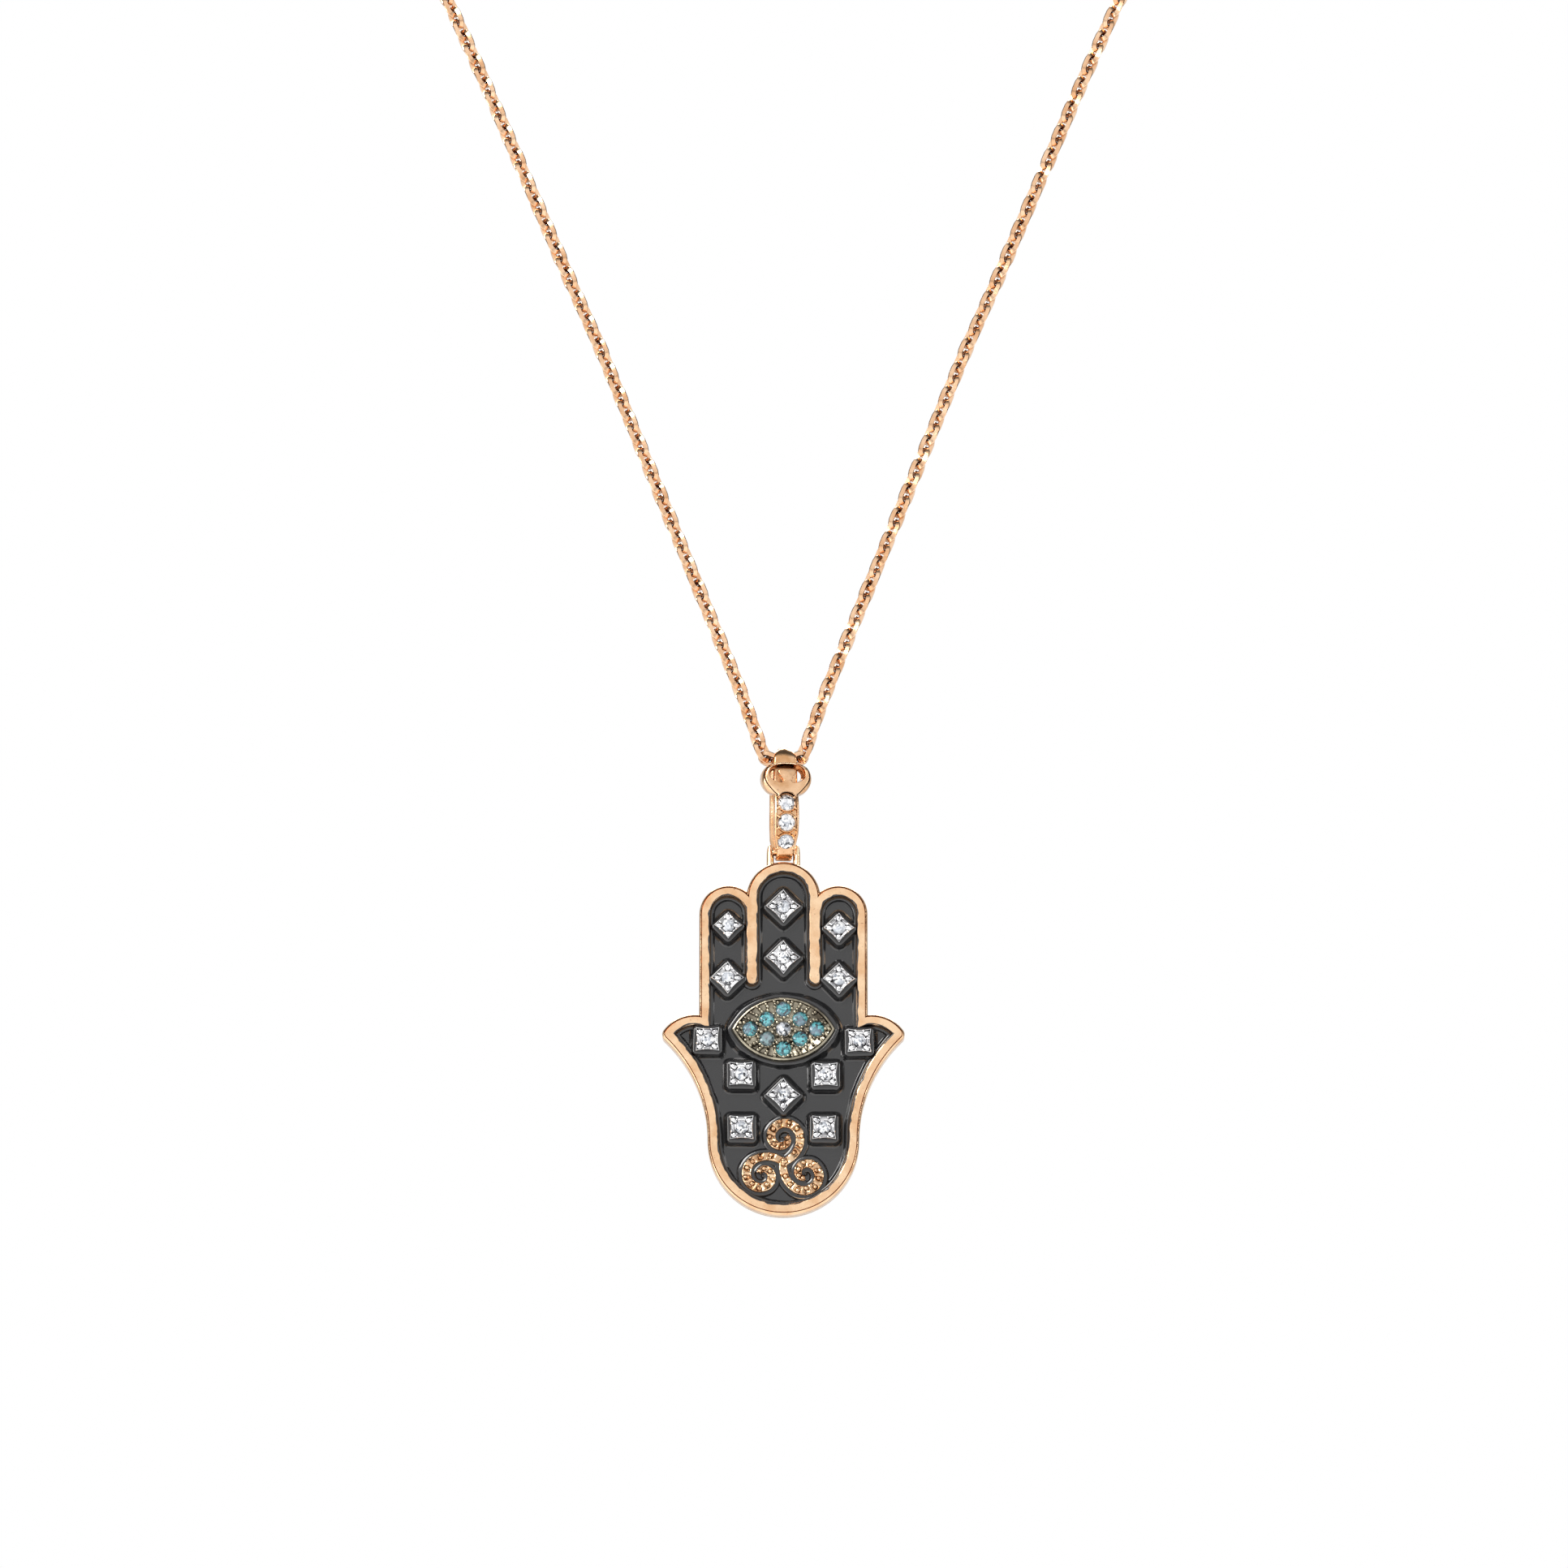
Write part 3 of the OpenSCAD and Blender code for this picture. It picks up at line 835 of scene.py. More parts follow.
    def recess(self, inset: float) -> list[Vector]:
        """The outline of the enamelled recess.

        Args:
            inset: How far it is drawn in from the rim's inner edge.

        Returns:
            The closed outline, from the foot up on the right.
        """
        edge = self.rim + inset
        inner = self.bar_x - self.bar / 2 - inset
        outer = self.bar_x + self.bar / 2 + inset
        slot_r = (self.half - edge - outer) / 2
        foot = Vector((self.bar_x, self.bar_share * self.height - self.palm_r + self.bar / 2))
        side_top = Vector((outer + slot_r, self.tip_y - self.side_finger_drop - edge - slot_r))
        points = self.lower_side(edge)
        points += arc(side_top, slot_r, 0, 180, 20)
        points += arc(foot, self.bar / 2 + inset, 0, -180, 14)
        points += arc(Vector((0.0, self.tip_y - edge - inner)), inner, 0, 90, 14)
        return both_sides(points)

    def build(self) -> bpy.types.Object:
        """Builds the hand with soft edges, and its eyelet."""
        bm = bmesh.new()
        wall = loft(bm, rings_of(self.outline, self.foot_steps, 0.0))
        wall.follow(rings_of(self.outline, self.rim_steps, self.depth)).fill(wall.first)
        lip, *rest = rings_of(self.recess, self.lip_steps, self.depth)
        inner = Wall(bm, lip)
        wall.fill(wall.ring, inner.ring)
        inner.follow([*rest, at_depth(self.recess(0.0), self.back)])
        inner.fill(inner.ring)
        self.eyelet(bm)
        return to_piece("Hand_frame", bm, self.place(), ROSE_GOLD.material())

    def eyelet(self, bm: BMesh) -> None:
        """Adds the bent wire that the hand hangs by, its lugs and its pad."""
        leg, bend = self.eyelet_w / 2, self.eyelet_bend
        root = self.tip_y - self.rim / 2
        flat = [Vector((leg, root))]
        flat += arc(Vector((leg - bend, self.tip_y + self.eyelet_rise - bend)), bend, 0, 90, 8)
        sweep(bm, at_depth(both_sides(flat), self.eyelet_depth), self.eyelet_wire / 2, 16)
        oval = arc(Vector((0.0, 0.0)), 1.0, 0, 345, 23)
        for side in (-1, 1):
            rows = [(side * (a + b) / 2, root + up, (b - a) / 2, t) for up, a, b, t in self.lug]
            self.post(bm, oval, rows)
        box = [Vector(p) for p in ((1, 1), (-1, 1), (-1, -1), (1, -1))]
        self.post(bm, box, [(0.0, self.tip_y + up, half, deep) for up, half, deep in self.pad])

    def post(self, bm: BMesh, section: Sequence[Vector], rows: Sequence[Sequence[float]]) -> None:
        """Adds an upright post in the middle of the eyelet's depth.

        Args:
            bm: The hand's mesh.
            section: Its flat section, which reaches 1 to all sides.
            rows: Its middle, height, half width and half thickness, level by level.
        """
        levels = [
            [Vector((x + p.x * half, y, self.eyelet_depth + p.y * deep)) for p in section]
            for x, y, half, deep in rows
        ]
        loft(bm, levels).close()


class Cut(Enum):
    """How a square setting is turned, in degrees."""

    ON_CORNER = 45
    SQUARE = 0


@dataclass(frozen=True)
class Setting:
    """A square setting with hollow sides, four beads and a seat for its stone.

    Attributes:
        name: The setting's name.
        across: Its place as a share of half the fingers' width.
        up: Its place as a share of the hand's height.
        size: Its side as a share of the largest.
        cut: How it is turned.
        step: Size of the hollow-sided step inside the head's edge, as a share of the side.
        claw_out: Distance of the corner beads from the middle, as a share of the side.
        claw_shape: How the corner beads are stretched.
        grain_out: Place of the small grains beside a corner bead, as shares of the side.
        skirt: Size and lift of the rings under the head.
        head: Size and lift of the rings at its top.
        cup: Radius and lift of the rings round the stone.
    """

    name: str
    across: float
    up: float
    size: float
    cut: Cut
    largest: float = 1.75
    rise: float = 0.45
    thick: float = 0.4
    bead_r: float = 0.2
    sides: int = 48
    stem_r: float = 0.45
    step: float = 0.74
    claw_out: float = 0.43
    claw_shape: tuple[float, float, float, float] = (1.25, 0.95, 0.8, 1.0)
    grain_out: tuple[float, float] = (0.4, 0.17)
    skirt: Rows = ((0.86, 0.0), (0.97, 0.05), (1.0, 0.12))
    head: Rows = ((1.0, -0.07), (0.985, -0.025), (0.96, 0.0), (0.91, 0.0), (0.86, -0.1))
    cup: Rows = ((0.5, -0.12), (0.44, -0.03), (0.39, -0.08), (0.2, -0.26))

    @property
    def side(self) -> float:
        """Length of the setting's side."""
        return self.size * self.largest

    def place(self, hand: Hand) -> Matrix:
        """Where the setting stands on the hand's flat drawing."""
        spot = Vector((self.across * hand.half, self.up * hand.height - hand.palm_r, 0.0))
        return Matrix.Translation(spot) @ Matrix.Rotation(math.radians(self.cut.value), 4, "Z")

    def ring(self, share: float, depth: float, hollow: float = 0.12) -> list[Vector]:
        """A square ring with hollow sides.

        Args:
            share: Its size as a share of the setting's.
            depth: The depth that it lies at.
            hollow: How far the sides draw in, as a share of half the side.

        Returns:
            The points, counter-clockwise from the right.
        """
        points = []
        for k in range(self.sides):
            turn = math.tau * k / self.sides
            reach = max(abs(math.cos(turn)), abs(math.sin(turn)))
            low = min(abs(math.cos(turn)), abs(math.sin(turn)))
            draw = 1 - hollow * (1 - (low / reach) ** 2)
            r = share * self.side / 2 / reach * draw
            points.append(Vector((r * math.cos(turn), r * math.sin(turn), depth)))
        return points

    def round(self, radius: float) -> list[Vector]:
        """A flat round ring with as many points as the square ones."""
        turns = [math.tau * k / self.sides for k in range(self.sides)]
        return [Vector((radius * math.cos(t), radius * math.sin(t))) for t in turns]

    def build(self, hand: Hand, finish: bpy.types.Material) -> bpy.types.Object:
        """Builds the setting.

        Args:
            hand: The hand that it stands on.
            finish: Its material.

        Returns:
            The piece.
        """
        bm = bmesh.new()
        top = hand.depth + self.rise
        low = top - self.thick
        rings = [at_depth(self.round(self.stem_r), z) for z in (hand.back + 0.02, low - 0.04)]
        rings += [self.ring(share, low + lift) for share, lift in self.skirt]
        rings += [self.ring(share, top + lift) for share, lift in self.head]
        rings += [self.ring(self.step, top - 0.17, 0.3), *rings_of(self.round, self.cup, top)]
        loft(bm, rings).close()
        grow = Matrix.Diagonal(self.claw_shape)
        corner = Matrix.Translation((self.side * self.claw_out, 0.0, top - 0.05))
        out, beside = (self.side * share for share in self.grain_out)
        for quarter in (45, 135, 225, 315):
            turn = Matrix.Rotation(math.radians(quarter), 4, "Z")
            claw = bmesh.new()
            bead(claw, Vector(), self.bead_r, 12)
            add_part(bm, claw, turn @ corner @ grow)
            for off in (-1, 1):
                spot = Vector((out, off * beside, top - 0.08))
                bead(bm, turn @ spot, self.bead_r / 2, 8)
        place = hand.place() @ self.place(hand)
        return to_piece(f"Setting_{self.name}", bm, place, finish)


SETTINGS = [
    Setting("finger_left_top", -0.655, 0.815, 0.8, Cut.ON_CORNER),
    Setting("finger_left_low", -0.66, 0.666, 0.95, Cut.ON_CORNER),
    Setting("finger_mid_top", 0, 0.869, 1, Cut.ON_CORNER),
    Setting("finger_mid_low", 0, 0.724, 1, Cut.ON_CORNER),
    Setting("finger_right_top", 0.66, 0.808, 0.88, Cut.ON_CORNER),
    Setting("finger_right_low", 0.66, 0.663, 0.93, Cut.ON_CORNER),
    Setting("thumb_left", -0.9, 0.492, 0.97, Cut.SQUARE),
    Setting("thumb_right", 0.9, 0.488, 0.97, Cut.SQUARE),
    Setting("palm_left", -0.5, 0.394, 0.98, Cut.SQUARE),
    Setting("palm_right", 0.5, 0.392, 0.98, Cut.SQUARE),
    Setting("palm_mid", 0, 0.334, 1, Cut.ON_CORNER),
    Setting("low_left", -0.495, 0.2425, 0.98, Cut.SQUARE),
    Setting("low_right", 0.48, 0.2425, 0.98, Cut.SQUARE),
]


@dataclass
class Eye:
    """The almond plate: seats and prong beads in a bright-cut edge.

    Attributes:
        length: Length of the almond.
        height: Height of the almond.
        rise: How far it stands proud of the rim.
        stone_d: Diameter of its stones.
        pitch_x: Distance between the stones' columns.
        pitch_y: Distance between the stones' rows.
        apart: Least distance between beads, and from them to the edge.
        up: Height of its middle, as a share of the hand's.
        low_steps: How far the plate's sides are drawn in, and their lift over its back.
        top_steps: The same for its front edge, and its lift over the front.
        collar_steps: Distance from a stone and lift of the rings of its collar.
        stones: Name, column and row of each stone.
    """

    length: float = 7.2
    height: float = 4.5
    rise: float = 0.1
    stone_d: float = 1.08
    pitch_x: float = 1.16
    pitch_y: float = 0.7
    bead_r: float = 0.12
    apart: float = 0.17
    up: float = 0.523
    steps: int = 32
    thick: float = 0.6
    low_steps: Rows = ((-0.375, 0.0), (-0.05, 0.0), (0.0, 0.06))
    top_steps: Rows = (
        (0.0, -0.1), (-0.03, -0.03), (-0.09, 0.0), (-0.16, 0.0), (-0.24, -0.13), (-0.3, -0.16),
    )
    collar_steps: Rows = ((0.1, -0.2), (0.06, -0.05), (0.02, -0.03), (-0.01, -0.08), (-0.05, -0.2))
    stones: tuple[tuple[str, int, int], ...] = (
        ("mid", 0, 0), ("top", 0, 2), ("low", 0, -2), ("left", -2, 0), ("right", 2, 0),
        ("left_top", -1, 1), ("right_top", 1, 1), ("left_low", -1, -1), ("right_low", 1, -1),
    )

    @property
    def radius(self) -> float:
        """Radius of the two circles that share the almond."""
        return ((self.length / 2) ** 2 + (self.height / 2) ** 2) / self.height

    def place(self, hand: Hand) -> Matrix:
        """Where the eye lies on the hand's flat drawing."""
        return Matrix.Translation((0.0, self.up * hand.height - hand.palm_r, 0.0))

    def half_height(self, x: float, grow: float = 0.0) -> float:
        """Half of the almond's height at a distance from its middle."""
        r = self.radius + grow
        return math.sqrt(max(r * r - x * x, 0.0)) - self.radius + self.height / 2

    def almond(self, grow: float, soft: float = 0.0) -> list[Vector]:
        """The almond's outline, grown on all sides and softened towards an oval.

        Args:
            grow: How far it is grown.
            soft: From 0, the almond, to 1, an oval of its length and height.

        Returns:
            The closed outline from the right tip, counter-clockwise.
        """
        r = self.radius + grow
        tip = math.sqrt(r * r - (self.radius - self.height / 2) ** 2)
        top = self.half_height(0.0, grow)
        points = []
        for k in range(2 * self.steps):
            turn = math.pi * k / self.steps
            x = tip * math.cos(turn)
            sharp = Vector((x, math.copysign(self.half_height(x, grow), math.sin(turn))))
            if k % self.steps == 0:
                sharp.y = 0.0
            oval = Vector((tip * math.cos(turn), top * math.sin(turn)))
            points.append(sharp.lerp(oval, soft))
        return points

    def build(self, hand: Hand) -> bpy.types.Object:
        """Builds the plate with its collars and beads."""
        bm = bmesh.new()
        top = hand.depth + self.rise
        foot = at_depth(self.almond(self.low_steps[0][0]), hand.back + 0.02)
        wall = Wall(bm, foot).follow(rings_of(self.almond, self.low_steps, top - self.thick))
        wall.follow(rings_of(self.almond, self.top_steps, top)).close()
        centres = [Vector((x * self.pitch_x, y * self.pitch_y)) for _, x, y in self.stones]
        for centre in centres:
            around = partial(self.around, centre)
            loft(bm, rings_of(around, self.collar_steps, top)).join()
        self.beads(bm, centres, top)
        place = hand.place() @ self.place(hand)
        return to_piece("Eye_plate", bm, place, EYE_METAL.material())

    def around(self, centre: Vector, grow: float) -> list[Vector]:
        """A ring round a stone, grown past its edge."""
        return arc(centre, self.stone_d / 2 + grow, 0, 345, 23)

    def beads(self, bm: BMesh, centres: Sequence[Vector], top: float) -> None:
        """Adds the beads that crowd round each stone, and the grains along the edge.

        Args:
            bm: The plate's mesh.
            centres: The stones' centres.
            top: Depth of the plate's front.
        """
        chance = random.Random(SEED)
        spots = []
        reach = self.stone_d / 2 + 0.07
        for centre in centres:
            for turn in range(0, 360, 45):
                way = way_at(turn + chance.uniform(-14, 14))
                spots.append((centre + reach * way, 1.0, 0.03))
        for share in (0.92, 0.83, 0.74):
            for spot in self.almond(-0.1)[::2]:
                spots.append((spot * share * chance.uniform(0.98, 1.02), 1.1, -0.06))
        placed: list[Vector] = []
        for spot, share, lift in spots:
            size = self.bead_r * share * chance.uniform(0.8, 1.15)
            gap = min((spot - c).length for c in centres) - self.stone_d / 2
            inside = abs(spot.y) < self.half_height(spot.x) - self.apart
            if inside and gap > 0.0 and all((spot - p).length > self.apart for p in placed):
                placed.append(spot)
                bead(bm, Vector((spot.x, spot.y, top + lift)), size)


@dataclass
class Scroll:
    """The triple scroll: three beaded bands that curl out of one middle.

    Attributes:
        up: Height of its middle, as a share of the hand's.
        reach: Distance from the middle to each spiral's centre.
        radius: Radius of each spiral's outer turn.
        band: Width of the band where it starts.
        rise: How far it stands proud of the enamel's floor.
        turn: How far a spiral turns, in degrees.
        arm_turn: The part of that turn in which it leaves the middle.
        radii: Degrees turned, and the spiral's radius there as a share of its outer one.
        widths: The same for the band's width.
        beads: Degrees turned at each bead.
    """

    up: float = 0.149
    reach: float = 1.7
    radius: float = 1.18
    band: float = 0.68
    rise: float = 0.45
    bead_r: float = 0.16
    turn: float = 490.0
    arm_turn: float = 90.0
    steps: int = 150
    radii: Rows = ((90, 1.0), (180, 0.915), (270, 0.725), (360, 0.43), (450, 0.24), (490, 0.21))
    widths: Rows = (
        (60, 0.92), (90, 0.96), (180, 1.04), (270, 1.0), (360, 0.93), (450, 0.72), (490, 0.6),
    )
    beads: tuple[float, ...] = (4, 36, 66, 97, 127, 160, 193, 228, 264, 304, 350, 402, 458)

    def place(self, hand: Hand) -> Matrix:
        """Where the scroll lies on the hand's flat drawing."""
        return Matrix.Translation((0.0, self.up * hand.height - hand.palm_r, 0.0))

    def at(self, turned: float) -> float:
        """Radius of the band's middle line after some degrees."""
        close = max(0.0, 1 - turned / self.arm_turn) ** 2
        return self.radius * lookup(self.radii, turned) + (self.reach - self.radius) * close

    def width(self, turned: float) -> float:
        """Width of the band after some degrees."""
        return self.band * lookup(self.widths, turned)

    def arms(self) -> list[Matrix]:
        """The place of each spiral's centre, for the three arms."""
        shift = Matrix.Translation((0.0, self.reach, 0.0))
        return [Matrix.Rotation(math.radians(120 * k), 4, "Z") @ shift for k in range(3)]

    def way(self, turned: float) -> Vector:
        """The way out of a spiral's centre after some degrees."""
        return Vector((math.sin(math.radians(turned)), -math.cos(math.radians(turned)), 0.0))

    def band_wall(self, bm: BMesh, section: Callable[[float, float], Rows]) -> None:
        """Draws a band along the spiral, ring by ring.

        Args:
            bm: The mesh that takes it.
            section: Gives the ring's points, each as a distance outwards from the middle line
                and a depth, from the degrees turned and the band's width.
        """
        rings = []
        for i in range(self.steps + 1):
            turned = self.turn * i / self.steps
            way, middle = self.way(turned), self.at(turned)
            points = section(turned, self.width(turned))
            rings.append([way * (middle + out) + Vector((0.0, 0.0, z)) for out, z in points])
        loft(bm, rings).close()

    def pit(self, turned: float) -> float:
        """How deep the band's face sinks near a bead, from 0 to 1."""
        near = min(abs(turned - b) for b in self.beads) * math.radians(self.at(turned))
        return math.exp(-((near / 0.17) ** 2))

    def section(
        self, floor: float, rough: Sequence[float], turned: float, width: float
    ) -> list[tuple[float, float]]:
        """The band's section, sunk at its beads and roughly cut between them.

        Args:
            floor: Depth of the enamel's floor.
            rough: The rough cut's strength along the spiral, from -1 to 1.
            turned: The degrees turned.
            width: The band's width there.

        Returns:
            The section's points, each as a distance outwards and a depth.
        """
        half, top = width / 2, floor + self.rise
        wave = rough[round(turned / self.turn * self.steps)]
        dip = 0.17 * self.pit(turned) + 0.02 * wave
        edge = top - max(0.0, dip - 0.06) * 0.7 - 0.015 * wave
        side = [(half, floor - 0.1), (half, edge - 0.14), (half - 0.04, edge - 0.05)]
        side += [(half - 0.1, edge - 0.012), (half - 0.17, top - dip)]
        return [(-x, z) for x, z in side] + [(0.0, top - dip - 0.02)] + side[::-1]

    def build(self, hand: Hand) -> bpy.types.Object:
        """Builds the scroll."""
        bm = bmesh.new()
        top = hand.floor + self.rise
        chance = random.Random(SEED)
        for place in self.arms():
            arm = bmesh.new()
            rough = [chance.uniform(-1.0, 1.0) for _ in range(self.steps + 1)]
            self.band_wall(arm, partial(self.section, hand.floor, rough))
            for turned in self.beads:
                free = max(self.width(turned) / 2 - self.bead_r - 0.03, 0.0)
                spot = (self.at(turned) + free * chance.uniform(-1.0, 1.0)) * self.way(turned)
                size = self.bead_r * chance.uniform(0.85, 1.05)
                bead(arm, Vector((spot.x, spot.y, top - 0.06)), size, 12)
            add_part(bm, arm, place)
        bead(bm, Vector((0.0, 0.0, top - 0.02)), self.bead_r * 1.1, 12)
        place = hand.place() @ self.place(hand)
        return to_piece("Scroll", bm, place, SCROLL_GOLD.material())


@dataclass
class EnamelField:
    """The enamel: a flat floor that climbs the rim, each setting, the eye and the scroll.

    Attributes:
        sides: Number of points round each mound.
        waver: How far its hand-poured lines stray.
        rim_climb: How far the rings along the rim are drawn in, and their lift over the floor.
        smear: The line on the rim: shares of the way over it, and lift over its front.
        bank: Distance outwards from the scroll's band, and lift over the floor.
        mound_low: Distance outwards from a setting, corner radius, and lift over the floor.
        mound_head: The same under the setting's head, and lift over its underside.
        eye_low: Distance outwards from the eye, how oval it is, and lift over the floor.
        eye_top: The same at the eye's front, and lift over it.
    """

    sides: int = 64
    waver: float = 0.05
    rim_climb: Rows = (
        (-0.09, 0.1), (0.0, 0.14), (0.06, 0.19), (0.14, 0.19), (0.21, 0.16), (0.26, 0.1),
        (0.3, 0.035), (0.34, 0.004), (0.38, 0.0), (0.42, 0.0),
    )
    smear: Rows = (
        (0.0, 0.0, -0.2), (0.0, 0.0, -0.01), (0.5, 0.0, 0.022), (1.0, 0.0, 0.018),
        (1.0, 0.2, -0.06),
    )
    bank: Rows = (
        (0.36, -0.05), (0.33, 0.02), (0.29, 0.09), (0.24, 0.15), (0.16, 0.19), (0.0, 0.2),
    )
    mound_low: Rows = (
        (0.5, 0.62, -0.03), (0.46, 0.58, 0.003), (0.38, 0.52, 0.03), (0.31, 0.46, 0.1),
        (0.27, 0.4, 0.22), (0.24, 0.36, 0.4),
    )
    mound_head: Rows = (
        (0.2, 0.32, -0.12), (0.13, 0.26, -0.03), (0.04, 0.2, 0.02), (-0.06, 0.14, 0.03),
        (-0.2, 0.1, -0.02),
    )
    eye_low: Rows = (
        (0.56, 0.75, -0.03), (0.52, 0.72, 0.003), (0.45, 0.65, 0.04), (0.39, 0.55, 0.14),
        (0.35, 0.45, 0.28),
    )
    eye_top: Rows = (
        (0.29, 0.35, -0.34), (0.2, 0.2, -0.26), (0.1, 0.1, -0.26), (0.02, 0.0, -0.3),
        (-0.05, 0.0, -0.32),
    )

    def build(self, hand: Hand, eye: Eye, scroll: Scroll) -> bpy.types.Object:
        """Builds the enamel.

        Args:
            hand: The hand that holds it.
            eye: The eye that it climbs.
            scroll: The scroll that it climbs.

        Returns:
            The piece.
        """
        bm = bmesh.new()
        foot = at_depth(hand.recess(self.rim_climb[0][0]), hand.back + 0.02)
        Wall(bm, foot).follow(rings_of(hand.recess, self.rim_climb, hand.floor)).close()
        self.smear_line(bm, hand)
        for setting in SETTINGS:
            self.mound(bm, setting, hand)
        self.eye_mound(bm, eye, hand)
        self.scroll_bank(bm, scroll, hand)
        for vert in bm.verts:
            flat = Vector((vert.co.x, vert.co.y, 0.0))
            stray = noise.noise_vector(flat / 1.3) + 0.4 * noise.noise_vector(flat / 0.5)
            high = min(max((vert.co.z - hand.floor) / 0.25, 0.3), 1.0)
            vert.co += self.waver * Vector((stray.x, stray.y, 0.25 * stray.z * high))
        return to_piece("Enamel", bm, hand.place(), ENAMEL.material(), 60.0)

    def smear_line(self, bm: BMesh, hand: Hand) -> None:
        """Adds the uneven line of enamel that stands on the rim's inner edge.

        Args:
            bm: The enamel's mesh.
            hand: The hand that holds it.
        """
        near, far = hand.recess(-0.01), hand.recess(-0.17)
        rows = []
        for k, start in enumerate(near):
            after = (k + 1) % len(near)
            stretch = near[after] - start
            parts = max(1, round(stretch.length / 0.25))
            for part in range(parts):
                t = part / parts
                a, b = start + stretch * t, far[k].lerp(far[after], t)
                wild = noise.noise(a.to_3d() * 1.6) + 0.5 * noise.noise(a.to_3d() * 4.3)
                rows.append((a, a.lerp(b, min(max(0.42 + 0.75 * wild, 0.12), 1.0)), b))
        rings = [
            at_depth([a.lerp(m, out).lerp(b, past) for a, m, b in rows], hand.depth + lift)
            for out, past, lift in self.smear
        ]
        loft(bm, rings).join()

    def scroll_bank(self, bm: BMesh, scroll: Scroll, hand: Hand) -> None:
        """Adds the bank of enamel along the scroll's bands.

        Args:
            bm: The enamel's mesh.
            scroll: The scroll.
            hand: The hand that it lies on.
        """

        def section(_: float, width: float) -> list[tuple[float, float]]:
            """The bank's section, which climbs to the band on both sides."""
            side = [(width / 2 + out, hand.floor + climb) for out, climb in self.bank]
            return [(-x, z) for x, z in side] + side[::-1]

        for place in scroll.arms():
            arm = bmesh.new()
            scroll.band_wall(arm, section)
            add_part(bm, arm, scroll.place(hand) @ place)

    def square(self, half: float, corner: float, depth: float) -> list[Vector]:
        """A square ring with round corners.

        Args:
            half: Half of its side.
            corner: Radius of its corners.
            depth: The depth that it lies at.

        Returns:
            The points, counter-clockwise.
        """
        straight = half - corner
        points: list[Vector] = []
        for turn in (0, 90, 180, 270):
            centre = Matrix.Rotation(math.radians(turn), 2) @ Vector((straight, straight))
            points += arc(centre, corner, turn, turn + 90, self.sides // 4 - 1)
        return at_depth(points, depth)

    def mound(self, bm: BMesh, setting: Setting, hand: Hand) -> None:
        """Adds the enamel that climbs to a setting's head.

        Args:
            bm: The enamel's mesh.
            setting: The setting.
            hand: The hand that it stands on.
        """
        half = setting.side / 2
        head = hand.depth + setting.rise - setting.thick
        rings = [
            self.square(half + out, corner, base + lift)
            for base, rows in ((hand.floor, self.mound_low), (head, self.mound_head))
            for out, corner, lift in rows
        ]
        part = bmesh.new()
        loft(part, rings).close()
        add_part(bm, part, setting.place(hand))

    def eye_mound(self, bm: BMesh, eye: Eye, hand: Hand) -> None:
        """Adds the lip of enamel round the eye.

        Args:
            bm: The enamel's mesh.
            eye: The eye.
            hand: The hand that it lies on.
        """
        shift = eye.place(hand).translation.xy
        rings = [
            at_depth([p + shift for p in eye.almond(grow, soft)], base + lift)
            for base, rows in ((hand.floor, self.eye_low), (hand.depth + eye.rise, self.eye_top))
            for grow, soft, lift in rows
        ]
        loft(bm, rings).close()


